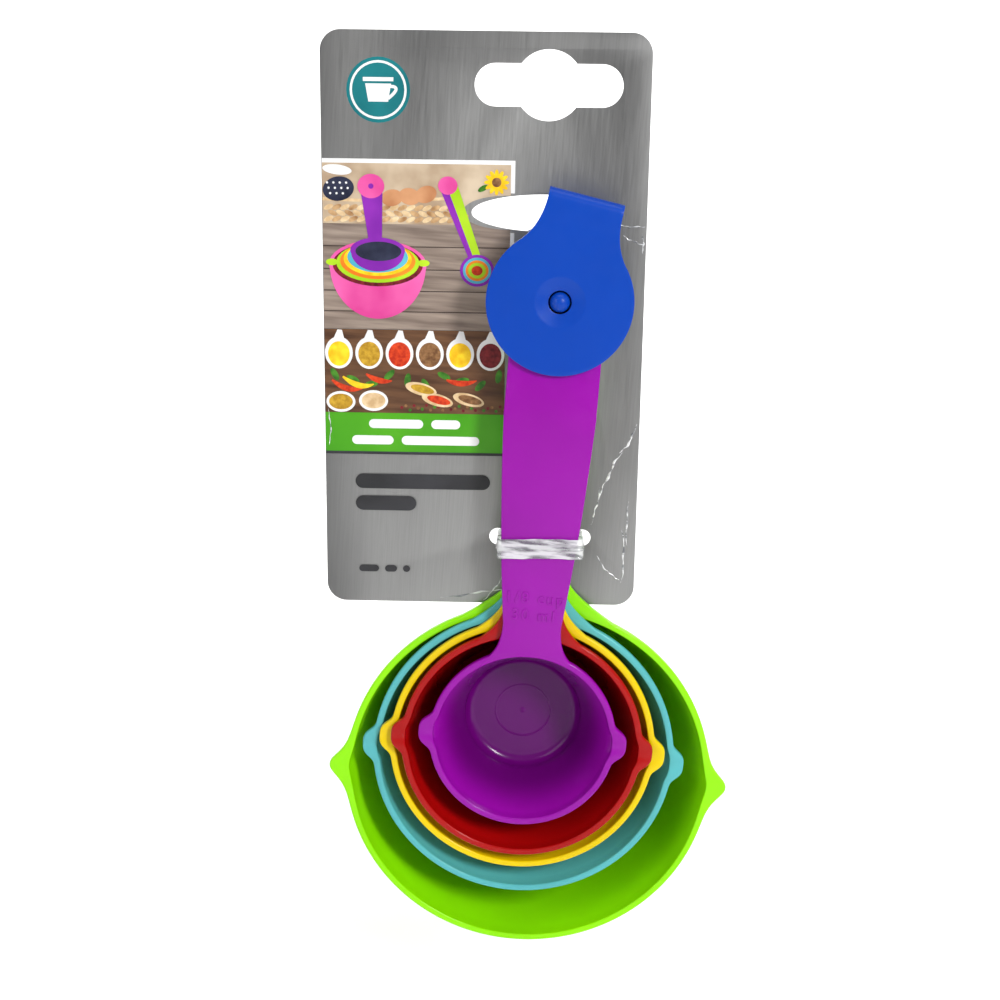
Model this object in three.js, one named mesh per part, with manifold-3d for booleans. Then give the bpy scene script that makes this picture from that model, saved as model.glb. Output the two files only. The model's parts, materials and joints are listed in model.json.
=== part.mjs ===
// A set of five nested measuring cups on a folding clip, fastened to its hang card by a twist tie.
//
// Millimetres, +Z up. The card hangs from a peg under the top of its hang hole, which is the
// origin. The front of the set, with the mouths of the cups, faces -Y. The five flat handles lie
// one behind the other on the clip's stud, and the cups nest in the same order.

import * as THREE from 'three';
import * as BufferGeometryUtils from 'three/addons/utils/BufferGeometryUtils.js';
import Module from 'manifold-3d';

const wasm = await Module();
wasm.setup();

// ---------------------------------------------------------------- driving dimensions

const GAP = 0.3; // free space between neighbouring pieces
const DEGREE = Math.PI / 180;

// The clip's stud, which every handle hangs on.
const STUD = { x: 7.9, z: -63.9 };

// The hang card. Its cut-outs stand on one line, and the outline sits mostly to the left of it.
const CARD = {
  width: 87,
  height: 156,
  corner: 5.5,
  thickness: 0.6,
  lean: -3.6 * DEGREE,
  centreX: -16.6,
  centreZ: -73.6,
};
const HANG_HOLE = { armWidth: 39, armHeight: 11, circle: 9.1 };
const BAND_SLOT = { z: -42.1, halfWidth: 20, halfHeight: 4.9 };
const TIE_HOLE = { z: -131.9, spacing: 23.7, radius: 2.4 };
const CARD_STUD_HOLE_RADIUS = 4.2;

// Handles: half widths down the handle, measured from the stud.
const HANDLE = {
  thickness: 2.0,
  pitch: 2.3,
  holeRadius: 3.6,
  endRadius: 12.3,
  shoulder: { z: -31, half: 12.5 },
  neckHalf: 8.1,
  flareRise: 7.5,
  flareAngle: 31 * DEGREE,
};
const FRONT_HANDLE_Y = -CARD.thickness / 2 - GAP - HANDLE.pitch * 4 - HANDLE.thickness;

// Walls, rims and spouts shared by the five cups.
const WALL = 1.3;
const RIM = { width: 1.9, height: 2.0, round: 0.5 };
const FLOOR_ROUND = 3.0;
const RADIAL_STEPS = 44;
const SPOUT_CROWDING = 0.3; // how much closer the facets stand at the two spouts

// rim and floor are radii; rim outside, floor inside; centre is the drop from the stud; swing is how
// far the cup has slid to the right round the stud, within the play that the nest and the tie leave.
const LUG = { proud: 3.1, halfWidth: 4.8, power: 0.6, below: 0.32, reach: 7 };
const BEAK = { proud: 4.8, halfWidth: 7.0, power: 1.25, below: 0.75, reach: 15 };
const CUPS = [
  { name: 'cup_eighth', rim: 26.5, floor: 17.0, depth: 22, centre: -124.3, swing: 0, spout: LUG, colour: 0x9a1ab5 },
  { name: 'cup_quarter', rim: 34.4, floor: 24.5, depth: 24, centre: -127.2, swing: 0, spout: LUG, colour: 0xd0191d },
  { name: 'cup_third', rim: 38.0, floor: 27.5, depth: 25, centre: -128.6, swing: 0.1 * DEGREE, spout: LUG, colour: 0xf7d514 },
  { name: 'cup_half', rim: 43.4, floor: 32.5, depth: 28, centre: -132.1, swing: 0.35 * DEGREE, spout: LUG, colour: 0x5cc3d6 },
  { name: 'cup_full', rim: 53.0, floor: 41.5, depth: 36, centre: -140.0, swing: 1.1 * DEGREE, spout: BEAK, colour: 0x86e20c },
];

// The folding clip, in its own frame: origin on the stud's axis, +Z towards the fold.
const CLIP = {
  lean: 10 * DEGREE,
  thickness: 1.4,
  discRadius: 19.5,
  bandHalf: 10,
  slotBandHalf: 6.5,
  top: 28,
  neckDrop: 9,
  dishRadius: 6.6,
  dishDepth: 0.5,
  holeRadius: 3.1,
};
const LEAF_FRONT_Y = FRONT_HANDLE_Y - GAP - CLIP.thickness;
const BACK_DISC_Y = CARD.thickness / 2 + 2 * GAP;
const STUD_SHAPE = { shaft: 2.5, head: 2.65, tipBeyondLeaf: 1.5 };

// The twist tie: a flat clear ribbon with a wire along its middle.
const TIE = {
  frontWidth: 5.6,
  legWidth: 3.8,
  thickness: 0.9,
  grooveWidth: 1.0,
  grooveDepth: 0.6,
  wireSize: 0.42,
  cornerRadius: 1.4,
  tailLength: 18,
  tailWidth: 3.2,
  tailTurns: 2,
  tailSteps: 24,
};

// ---------------------------------------------------------------- solids from geometry

/** Turns a closed three.js geometry into a manifold solid with its faces pointing out. */
function toSolid(geometry) {
  const bare = geometry.clone();
  bare.deleteAttribute('normal');
  bare.deleteAttribute('uv');
  const merged = BufferGeometryUtils.mergeVertices(bare, 1e-4);
  const position = merged.getAttribute('position').array;
  const index = merged.getIndex().array;
  const triangles = [];
  for (let i = 0; i < index.length; i += 3) {
    const [a, b, c] = [index[i], index[i + 1], index[i + 2]];
    if (a !== b && b !== c && c !== a) {
      triangles.push(a, b, c);
    }
  }
  if (signedVolume(position, triangles) < 0) {
    triangles.reverse();
  }
  const mesh = new wasm.Mesh({
    numProp: 3,
    vertProperties: new Float32Array(position),
    triVerts: new Uint32Array(triangles),
  });
  return new wasm.Manifold(mesh);
}

/** Six times the volume that a list of triangles encloses; negative when it is inside out. */
function signedVolume(position, triangles) {
  const corner = (i) => new THREE.Vector3().fromArray(position, 3 * triangles[i]);
  let volume = 0;
  for (let i = 0; i < triangles.length; i += 3) {
    volume += corner(i).dot(corner(i + 1).cross(corner(i + 2)));
  }
  return volume;
}

/** Turns a manifold solid back into a three.js geometry. */
function toGeometry(solid) {
  const mesh = solid.getMesh();
  const geometry = new THREE.BufferGeometry();
  geometry.setAttribute('position', new THREE.BufferAttribute(mesh.vertProperties, 3));
  geometry.setIndex(new THREE.BufferAttribute(mesh.triVerts, 1));
  geometry.computeVertexNormals();
  return geometry;
}

/** A plate whose outline is drawn in X and Z, from yFront back through its thickness. */
function plate(shape, yFront, thickness, curveSegments = 12) {
  const geometry = new THREE.ExtrudeGeometry(shape, { depth: thickness, bevelEnabled: false, curveSegments });
  geometry.rotateX(Math.PI / 2);
  geometry.translate(0, yFront + thickness, 0);
  return toSolid(geometry);
}

/** A round bar along Y. */
function roundBar(radius, yFront, length, x = 0, z = 0, sides = 28) {
  const geometry = new THREE.CylinderGeometry(radius, radius, length, sides);
  geometry.translate(x, yFront + length / 2, z);
  return toSolid(geometry);
}

/** A solid of revolution about a Y axis, from [radius, y] points that start and end on it. */
function turned(points, sides = 28) {
  return toSolid(new THREE.LatheGeometry(points.map(([r, y]) => new THREE.Vector2(r, y)), sides));
}

function namedMesh(name, solid, colour, roughness = 0.35, metalness = 0) {
  const material = new THREE.MeshStandardMaterial({ color: colour, roughness, metalness });
  const mesh = new THREE.Mesh(toGeometry(solid), material);
  mesh.name = name;
  return mesh;
}

// ---------------------------------------------------------------- cups

/** The wall section of a cup: inner floor, inner wall, rim, outer wall and outer floor. */
function wallSection(cup) {
  const { width, height, round } = RIM;
  const inner = cup.rim - width;
  const wallOuter = inner + WALL;
  const bottom = cup.depth + WALL;
  const cornerInset = FLOOR_ROUND * (1 - Math.SQRT1_2);
  return [
    [0, cup.depth],
    [cup.floor - FLOOR_ROUND, cup.depth],
    [cup.floor - cornerInset, cup.depth - cornerInset],
    [cup.floor, cup.depth - FLOOR_ROUND],
    [inner, height],
    [inner + round, 0],
    [cup.rim - round, 0],
    [cup.rim, round],
    [cup.rim, height],
    [wallOuter, height],
    [cup.floor + WALL, cup.depth - FLOOR_ROUND],
    [cup.floor + WALL - cornerInset, bottom - cornerInset - 0.3],
    [cup.floor - FLOOR_ROUND, bottom],
    [0, bottom],
  ];
}

/** How far a spout pushes the rim outwards at a distance along the rim from its middle. */
function spoutReach(spout, along) {
  const share = Math.max(0, 1 - Math.abs(along) / spout.halfWidth);
  const rounded = spout.power < 1 ? 1 - (1 - share) ** 2 : share;
  return spout.proud * rounded ** spout.power;
}

/** Share of a spout's reach that is left at a depth below the mouth. */
function spoutFade(spout, depth) {
  if (depth <= RIM.height) {
    return 1;
  }
  return spout.below * Math.max(0, 1 - (depth - RIM.height) / spout.reach);
}

/** The bowl: the wall section turned about Y, with a spout drawn out on the left and right. */
function bowl(cup) {
  const section = wallSection(cup).map(([r, y]) => new THREE.Vector2(r, y));
  const geometry = new THREE.LatheGeometry(section, RADIAL_STEPS);
  const position = geometry.getAttribute('position');
  for (let i = 0; i < position.count; i += 1) {
    const depth = position.getY(i);
    const radius = Math.hypot(position.getX(i), position.getZ(i));
    if (radius > cup.floor) {
      const even = Math.atan2(position.getZ(i), position.getX(i));
      const angle = even - SPOUT_CROWDING * Math.sin(2 * even);
      const fromSpout = Math.asin(Math.abs(Math.sin(angle)));
      const reach = spoutReach(cup.spout, fromSpout * cup.rim) * spoutFade(cup.spout, depth);
      position.setXYZ(i, (radius + reach) * Math.cos(angle), depth, (radius + reach) * Math.sin(angle));
    } else if (radius > 0) {
      const even = Math.atan2(position.getZ(i), position.getX(i));
      const angle = even - SPOUT_CROWDING * Math.sin(2 * even);
      position.setXYZ(i, radius * Math.cos(angle), depth, radius * Math.sin(angle));
    }
  }
  geometry.translate(0, 0, cup.centre);
  return toSolid(geometry);
}

/** The flat handle: round end on the stud, long taper to the neck, and a flare onto the rim. */
function handleOutline(cup) {
  const { shoulder, neckHalf, endRadius, flareAngle } = HANDLE;
  const landing = cup.rim - 0.25 * RIM.width;
  const inside = cup.rim - 0.7 * RIM.width;
  const flareX = landing * Math.sin(flareAngle);
  const flareZ = cup.centre + landing * Math.cos(flareAngle);
  const tangentZ = flareZ + (flareX - neckHalf) * Math.tan(flareAngle);
  const neckZ = cup.centre + cup.rim + HANDLE.flareRise;
  const bend = shoulder.z * 0.45 + neckZ * 0.55;
  const shape = new THREE.Shape();
  shape.moveTo(endRadius, 0);
  shape.absarc(0, 0, endRadius, 0, Math.PI, false);
  shape.lineTo(-shoulder.half, shoulder.z);
  shape.quadraticCurveTo(-shoulder.half + 1.2, bend, -neckHalf, neckZ);
  shape.quadraticCurveTo(-neckHalf, tangentZ, -flareX, flareZ);
  shape.absarc(0, cup.centre, inside, Math.PI / 2 + flareAngle, Math.PI / 2 - flareAngle, true);
  shape.lineTo(flareX, flareZ);
  shape.quadraticCurveTo(neckHalf, tangentZ, neckHalf, neckZ);
  shape.quadraticCurveTo(shoulder.half - 1.2, bend, shoulder.half, shoulder.z);
  shape.closePath();
  return shape;
}

function cupSolid(cup) {
  const handle = plate(handleOutline(cup), 0, HANDLE.thickness, 10);
  const eye = roundBar(HANDLE.holeRadius, -1, HANDLE.thickness + 2);
  return bowl(cup).add(handle).subtract(eye);
}

function buildCups() {
  const cups = new THREE.Group();
  CUPS.forEach((cup, order) => {
    const mesh = namedMesh(cup.name, cupSolid(cup), cup.colour);
    mesh.position.set(STUD.x, FRONT_HANDLE_Y + order * HANDLE.pitch, STUD.z);
    mesh.rotation.y = -cup.swing;
    cups.add(mesh);
  });
  return cups;
}

// ---------------------------------------------------------------- clip

/** A clip leaf: a disc with a band that leaves it through two concave fillets. */
function leafOutline(bandHalf, top) {
  const { discRadius, neckDrop } = CLIP;
  const start = Math.asin(Math.min(1, (bandHalf + 4) / discRadius));
  const edge = { x: discRadius * Math.sin(start), z: discRadius * Math.cos(start) };
  const shape = new THREE.Shape();
  shape.moveTo(bandHalf, top);
  shape.lineTo(-bandHalf, top);
  shape.quadraticCurveTo(-bandHalf, top - neckDrop, -edge.x, edge.z);
  shape.absarc(0, 0, discRadius, Math.PI / 2 + start, Math.PI / 2 - start + 2 * Math.PI, false);
  shape.quadraticCurveTo(bandHalf, top - neckDrop, bandHalf, top);
  return shape;
}

/** The front leaf: dished round its hole, with a round knuckle along the fold. */
function frontLeaf() {
  const { thickness, bandHalf, top, dishRadius, dishDepth, holeRadius } = CLIP;
  const knuckleZ = top - thickness / 2;
  const dish = turned([
    [0, LEAF_FRONT_Y - 1],
    [dishRadius + 1, LEAF_FRONT_Y - 1],
    [dishRadius, LEAF_FRONT_Y],
    [dishRadius - 2.2, LEAF_FRONT_Y + dishDepth],
    [0, LEAF_FRONT_Y + dishDepth],
  ]);
  const hole = roundBar(holeRadius, LEAF_FRONT_Y - 1, thickness + 2);
  const knuckle = new THREE.CylinderGeometry(thickness / 2, thickness / 2, 2 * bandHalf, 16);
  knuckle.rotateZ(Math.PI / 2);
  knuckle.translate(0, LEAF_FRONT_Y + thickness / 2, knuckleZ);
  return plate(leafOutline(bandHalf, knuckleZ), LEAF_FRONT_Y, thickness)
    .subtract(dish)
    .subtract(hole)
    .add(toSolid(knuckle));
}

/** The strap that rises from the back disc, passes the card and runs forward to the fold. */
function strap() {
  const { thickness, bandHalf, slotBandHalf, top, discRadius } = CLIP;
  const frontEnd = LEAF_FRONT_Y + thickness + GAP;
  const backMiddle = BACK_DISC_Y + thickness / 2;
  const route = new THREE.CatmullRomCurve3([
    new THREE.Vector3(0, backMiddle, discRadius - 3),
    new THREE.Vector3(0, backMiddle, discRadius + 1.6),
    new THREE.Vector3(0, -0.2, 23.6),
    new THREE.Vector3(0, -4.6, 26.6),
    new THREE.Vector3(0, frontEnd, top - thickness / 2),
  ]);
  const sweep = (half, steps) => {
    const section = new THREE.Shape();
    section.moveTo(-half, -thickness / 2);
    section.lineTo(half, -thickness / 2);
    section.lineTo(half, thickness / 2);
    section.lineTo(-half, thickness / 2);
    section.closePath();
    return toSolid(new THREE.ExtrudeGeometry(section, { steps, extrudePath: route, bevelEnabled: false }));
  };
  const inFrontOfCard = new THREE.BoxGeometry(60, 40, 60);
  inFrontOfCard.translate(0, -20 - CARD.thickness / 2 - 2 * GAP, 20);
  const wide = sweep(bandHalf, 14).intersect(toSolid(inFrontOfCard));
  return sweep(slotBandHalf, 14).add(wide);
}

/** The stud: a shaft from the back disc with a rounded head that the front leaf snaps over. */
function stud() {
  const { shaft, head, tipBeyondLeaf } = STUD_SHAPE;
  const tip = LEAF_FRONT_Y - tipBeyondLeaf;
  return turned([
    [0, tip],
    [head * 0.62, tip + 0.35],
    [head, tip + 1.5],
    [head * 0.86, tip + 2.9],
    [shaft, tip + 3.4],
    [shaft, BACK_DISC_Y + CLIP.thickness / 2],
    [0, BACK_DISC_Y + CLIP.thickness / 2],
  ]);
}

function backLeaf() {
  return roundBar(CLIP.discRadius, BACK_DISC_Y, CLIP.thickness, 0, 0, 48).add(strap()).add(stud());
}

function buildClip() {
  const clip = new THREE.Group();
  clip.position.set(STUD.x, 0, STUD.z);
  clip.rotation.y = CLIP.lean;
  clip.add(namedMesh('clip_back_leaf', backLeaf(), 0x0a55c8, 0.4));
  clip.add(namedMesh('clip_front_leaf', frontLeaf(), 0x0a55c8, 0.4));
  return clip;
}

// ---------------------------------------------------------------- hang card

function roundedRectangle(width, height, radius) {
  const [w, h] = [width / 2, height / 2];
  const shape = new THREE.Shape();
  shape.moveTo(w, -h + radius);
  shape.absarc(w - radius, h - radius, radius, 0, Math.PI / 2, false);
  shape.absarc(-w + radius, h - radius, radius, Math.PI / 2, Math.PI, false);
  shape.absarc(-w + radius, -h + radius, radius, Math.PI, 1.5 * Math.PI, false);
  shape.absarc(w - radius, -h + radius, radius, 1.5 * Math.PI, 2 * Math.PI, false);
  return shape;
}

function ellipse(halfWidth, halfHeight) {
  const shape = new THREE.Shape();
  shape.absellipse(0, 0, halfWidth, halfHeight, 0, 2 * Math.PI, false, 0);
  return shape;
}

/** The stud's place in the frame of the leaning card. */
function studOnCard() {
  const place = new THREE.Vector3(STUD.x, 0, STUD.z);
  return place.applyAxisAngle(new THREE.Vector3(0, 1, 0), -CARD.lean);
}

function cardSolid() {
  const { width, height, corner, thickness, centreX, centreZ } = CARD;
  const front = -thickness / 2;
  const deep = thickness + 2;
  const at = (solid, x, z) => solid.translate([x, 0, z]);
  const arms = roundedRectangle(HANG_HOLE.armWidth, HANG_HOLE.armHeight, HANG_HOLE.armHeight / 2 - 0.01);
  const studHole = studOnCard();
  let card = at(plate(roundedRectangle(width, height, corner), front, thickness, 8), centreX, centreZ);
  const cuts = [
    at(plate(arms, front - 1, deep), 0, -HANG_HOLE.circle),
    roundBar(HANG_HOLE.circle, front - 1, deep, 0, -HANG_HOLE.circle, 36),
    at(plate(ellipse(BAND_SLOT.halfWidth, BAND_SLOT.halfHeight), front - 1, deep, 20), 0, BAND_SLOT.z),
    roundBar(CARD_STUD_HOLE_RADIUS, front - 1, deep, studHole.x, studHole.z),
    roundBar(TIE_HOLE.radius, front - 1, deep, -TIE_HOLE.spacing / 2, TIE_HOLE.z, 24),
    roundBar(TIE_HOLE.radius, front - 1, deep, TIE_HOLE.spacing / 2, TIE_HOLE.z, 24),
  ];
  for (const cut of cuts) {
    card = card.subtract(cut);
  }
  return card;
}

// ---------------------------------------------------------------- twist tie

/** A closed band round the handles and behind the card, seen from above, with rounded corners. */
function tieRing(inset, wallThickness, width) {
  const y = { front: FRONT_HANDLE_Y - GAP - TIE.thickness, back: CARD.thickness / 2 + GAP + TIE.thickness };
  const outerWidth = TIE_HOLE.spacing + TIE.thickness - 2 * inset;
  const outerDepth = y.back - y.front - 2 * inset;
  const shape = roundedRectangle(outerWidth, outerDepth, TIE.cornerRadius - inset);
  const thinner = 2 * wallThickness;
  const innerRadius = Math.max(0.2, TIE.cornerRadius - inset - wallThickness);
  const inner = roundedRectangle(outerWidth - thinner, outerDepth - thinner, innerRadius);
  shape.holes.push(new THREE.Path(inner.getPoints(4).reverse()));
  const geometry = new THREE.ExtrudeGeometry(shape, { depth: width, bevelEnabled: false, curveSegments: 4 });
  geometry.translate(0, (y.front + y.back) / 2, TIE_HOLE.z - width / 2);
  return toSolid(geometry);
}

/** The two ribbon ends twisted together behind the card, hanging down. */
function twistedTail() {
  const { tailWidth, thickness, tailLength, tailSteps, tailTurns, legWidth } = TIE;
  const geometry = new THREE.BoxGeometry(tailWidth, 2 * thickness, tailLength, 4, 2, tailSteps);
  const position = geometry.getAttribute('position');
  const corner = new THREE.Vector3();
  const down = new THREE.Vector3(0, 0, 1);
  for (let i = 0; i < position.count; i += 1) {
    corner.fromBufferAttribute(position, i);
    corner.applyAxisAngle(down, (corner.z / tailLength) * tailTurns * 2 * Math.PI);
    position.setXYZ(i, corner.x, corner.y, corner.z);
  }
  const y = CARD.thickness / 2 + GAP + Math.hypot(tailWidth / 2, thickness);
  geometry.translate(0, y, TIE_HOLE.z + legWidth / 2 - tailLength / 2);
  return toSolid(geometry);
}

function tieRibbon() {
  const frontOnly = new THREE.BoxGeometry(60, 20, 20);
  frontOnly.translate(0, FRONT_HANDLE_Y - 10, TIE_HOLE.z);
  const wideFront = tieRing(0, TIE.thickness, TIE.frontWidth).intersect(toSolid(frontOnly));
  const groove = tieRing(-1, 1 + TIE.grooveDepth, TIE.grooveWidth);
  return tieRing(0, TIE.thickness, TIE.legWidth).add(wideFront).subtract(groove).add(twistedTail());
}

function tieWire() {
  const inset = (TIE.grooveDepth - TIE.wireSize) / 2;
  const tailSide = new THREE.BoxGeometry(TIE.tailWidth + 2.4, 8, 8);
  tailSide.translate(0, CARD.thickness / 2 + 3.2, TIE_HOLE.z);
  return tieRing(inset, TIE.wireSize, TIE.wireSize).subtract(toSolid(tailSide));
}

function buildCard() {
  const card = new THREE.Group();
  card.rotation.y = CARD.lean;
  card.add(namedMesh('hang_card', cardSolid(), 0xb9babc, 0.35, 0.8));
  card.add(namedMesh('tie_ribbon', tieRibbon(), 0xe6ecf0, 0.12));
  card.add(namedMesh('tie_wire', tieWire(), 0x9c9ea2, 0.35, 1));
  return card;
}

// ---------------------------------------------------------------- the set

const measuringCupSet = new THREE.Group();
measuringCupSet.add(buildCard(), buildCups(), buildClip());

export default measuringCupSet;
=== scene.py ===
"""A set of nested measuring cups on a folding clip and a metallic hang card, dressed for display."""
import json
import logging
import math
from dataclasses import dataclass, field
from enum import Enum

import bmesh
import bpy
import numpy as np
from mathutils import Matrix, Vector
from mathutils.geometry import tessellate_polygon


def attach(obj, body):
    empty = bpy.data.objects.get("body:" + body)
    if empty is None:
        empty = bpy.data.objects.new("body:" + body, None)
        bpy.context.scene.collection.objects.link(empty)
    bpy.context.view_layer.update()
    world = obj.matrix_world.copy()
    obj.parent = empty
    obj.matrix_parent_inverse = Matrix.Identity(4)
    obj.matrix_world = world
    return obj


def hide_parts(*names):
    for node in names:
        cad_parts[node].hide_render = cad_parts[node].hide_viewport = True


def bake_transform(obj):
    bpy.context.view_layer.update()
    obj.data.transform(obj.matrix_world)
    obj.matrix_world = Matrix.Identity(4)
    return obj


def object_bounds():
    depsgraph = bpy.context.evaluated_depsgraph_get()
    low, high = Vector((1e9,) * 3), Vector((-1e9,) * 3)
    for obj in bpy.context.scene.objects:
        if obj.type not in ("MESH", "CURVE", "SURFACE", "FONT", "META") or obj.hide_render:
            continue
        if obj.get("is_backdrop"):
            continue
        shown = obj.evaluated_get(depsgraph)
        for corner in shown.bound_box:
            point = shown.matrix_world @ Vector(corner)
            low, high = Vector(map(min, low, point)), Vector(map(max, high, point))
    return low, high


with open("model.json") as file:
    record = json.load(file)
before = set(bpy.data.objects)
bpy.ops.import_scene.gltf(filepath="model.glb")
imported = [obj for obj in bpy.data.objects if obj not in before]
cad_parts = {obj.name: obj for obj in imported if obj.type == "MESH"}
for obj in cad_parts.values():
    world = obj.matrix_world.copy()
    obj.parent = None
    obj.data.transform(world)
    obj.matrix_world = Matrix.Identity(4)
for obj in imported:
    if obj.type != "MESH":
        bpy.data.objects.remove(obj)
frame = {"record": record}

log = logging.getLogger("measuring_cups")

MM = 0.001
FLOOR_DROP = 40.0
SMOOTH_ANGLE = math.radians(38)


# ---------------------------------------------------------------- places read from the frame


def joint(name: str) -> dict:
    """The record's joint of that name.

    Args:
        name: the joint's name.

    Returns:
        The joint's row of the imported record.
    """
    rows = frame["record"]["behaviour"]["joints"]
    return next(row for row in rows if row["name"] == name)


STUD = np.array(joint("clip_swivel")["pos_m"]) / MM
FOLD_AXIS = joint("clip_fold")["axis"]
CLIP_LEAN = math.atan2(FOLD_AXIS[2], -FOLD_AXIS[0])
CARD_LEAN = math.radians(-3.6)
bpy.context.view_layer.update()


def turn_about_y(points: np.ndarray, angle: float, x: float = 0.0, z: float = 0.0) -> np.ndarray:
    """Turns points clockwise, seen from the front, about the Y axis, then shifts them in X and Z.

    Args:
        points: an array whose last axis is X, Y, Z, in mm.
        angle: the turn in radians.
        x: the shift to the right.
        z: the shift upwards.

    Returns:
        The moved points.
    """
    c, s = math.cos(angle), math.sin(angle)
    turned = np.empty_like(points, dtype=float)
    turned[..., 0] = points[..., 0] * c + points[..., 2] * s + x
    turned[..., 1] = points[..., 1]
    turned[..., 2] = -points[..., 0] * s + points[..., 2] * c + z
    return turned


# ---------------------------------------------------------------- meshes from arrays


def new_object(name: str, points: np.ndarray, faces: list, material: bpy.types.Material) -> bpy.types.Object:
    """Makes one mesh object from points in mm, with its place in its mesh.

    Args:
        name: the piece's name.
        points: the vertices, one per row.
        faces: lists of vertex numbers.
        material: the piece's finish.

    Returns:
        The linked object, smooth except at its sharp edges.
    """
    mesh = bpy.data.meshes.new(name)
    mesh.from_pydata((np.asarray(points) * MM).tolist(), [], [list(map(int, f)) for f in faces])
    mesh.validate()
    mesh.shade_smooth()
    mesh.set_sharp_from_angle(angle=SMOOTH_ANGLE)
    mesh.materials.append(material)
    piece = bpy.data.objects.new(name, mesh)
    bpy.context.scene.collection.objects.link(piece)
    return piece


def grid_faces(rows: int, columns: int, close_rows: bool = False, close_columns: bool = False) -> np.ndarray:
    """The quads of a grid of vertices numbered row by row.

    Args:
        rows: how many rows of vertices there are.
        columns: how many vertices a row has.
        close_rows: whether the last row joins the first.
        close_columns: whether the last column joins the first.

    Returns:
        An array of four vertex numbers per quad.
    """
    i = np.arange(rows if close_rows else rows - 1)[:, None]
    j = np.arange(columns if close_columns else columns - 1)[None, :]
    next_i, next_j = (i + 1) % rows, (j + 1) % columns
    corners = [i * columns + j, next_i * columns + j, next_i * columns + next_j, i * columns + next_j]
    return np.stack([np.broadcast_to(c, np.broadcast(i, j).shape) for c in corners], -1).reshape(-1, 4)


def recalculate_outwards(piece: bpy.types.Object) -> None:
    """Points every face of a closed mesh outwards.

    Args:
        piece: the object whose mesh is changed.
    """
    work = bmesh.new()
    work.from_mesh(piece.data)
    bmesh.ops.remove_doubles(work, verts=work.verts, dist=1e-7)
    bmesh.ops.recalc_face_normals(work, faces=work.faces)
    work.to_mesh(piece.data)
    work.free()
    piece.data.set_sharp_from_angle(angle=SMOOTH_ANGLE)


def revolved(
    name: str, section: np.ndarray, material: bpy.types.Material, columns: int = 96
) -> bpy.types.Object:
    """A closed solid: a section of radius and Y, from axis to axis, turned about the Y axis.

    Args:
        name: the piece's name.
        section: rows of radius and Y in mm; the first and last radius are 0.
        material: the finish.
        columns: how many steps the full turn has.

    Returns:
        The object, not yet moved to its place.
    """
    angle = np.linspace(0, 2 * np.pi, columns, endpoint=False)
    radius, depth = section[1:-1, 0:1], section[1:-1, 1:2]
    ring = np.stack([radius * np.cos(angle), depth + 0 * angle, radius * np.sin(angle)], -1)
    poles = np.array([[0, section[0, 1], 0], [0, section[-1, 1], 0]])
    points = np.vstack([ring.reshape(-1, 3), poles])
    return new_object(name, points, capped_faces(len(section) - 2, columns), material)


def capped_faces(rows: int, columns: int) -> list:
    """Quads of closed rings, and triangles to the two poles that follow them.

    Args:
        rows: how many rings there are.
        columns: how many vertices a ring has.

    Returns:
        A list of faces.
    """
    j = np.arange(columns)
    after = (j + 1) % columns
    last = (rows - 1) * columns
    first_pole = np.full(columns, rows * columns)
    first_fan = np.stack([first_pole, j, after], -1)
    last_fan = np.stack([first_pole + 1, last + after, last + j], -1)
    return grid_faces(rows, columns, close_columns=True).tolist() + first_fan.tolist() + last_fan.tolist()


def arc(cx: float, cy: float, radius: float, start: float, end: float, count: int) -> np.ndarray:
    """Points along an arc in a plane.

    Args:
        cx: the centre's first coordinate.
        cy: the centre's second coordinate.
        radius: the arc's radius.
        start: the first angle in degrees.
        end: the last angle in degrees.
        count: how many points.

    Returns:
        An array of two columns.
    """
    angle = np.radians(np.linspace(start, end, count))
    return np.stack([cx + radius * np.cos(angle), cy + radius * np.sin(angle)], -1)


def bezier(points: list, count: int) -> np.ndarray:
    """A quadratic or cubic Bezier curve, by its Bernstein sum.

    Args:
        points: three or four control points.
        count: how many points to work out.

    Returns:
        An array with one row per point.
    """
    t = np.linspace(0, 1, count)[:, None]
    degree = len(points) - 1
    return sum(
        math.comb(degree, k) * t**k * (1 - t) ** (degree - k) * np.array(p, float)
        for k, p in enumerate(points)
    )


def without_doubles(outline: np.ndarray) -> np.ndarray:
    """Drops points of a closed outline that lie on the one before them.

    Args:
        outline: the outline's points.

    Returns:
        The outline without repeated points.
    """
    step = np.linalg.norm(outline - np.roll(outline, 1, axis=0), axis=1)
    return outline[step > 1e-4]


def inset(outline: np.ndarray, distance: float) -> np.ndarray:
    """Moves a counter-clockwise outline inwards along the mean normal at each point.

    Args:
        outline: closed outline of X and Z.
        distance: how far to move, in mm.

    Returns:
        The moved outline.
    """
    along = np.roll(outline, -1, axis=0) - np.roll(outline, 1, axis=0)
    along /= np.linalg.norm(along, axis=1, keepdims=True)
    return outline + distance * np.stack([-along[:, 1], along[:, 0]], -1)


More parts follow.
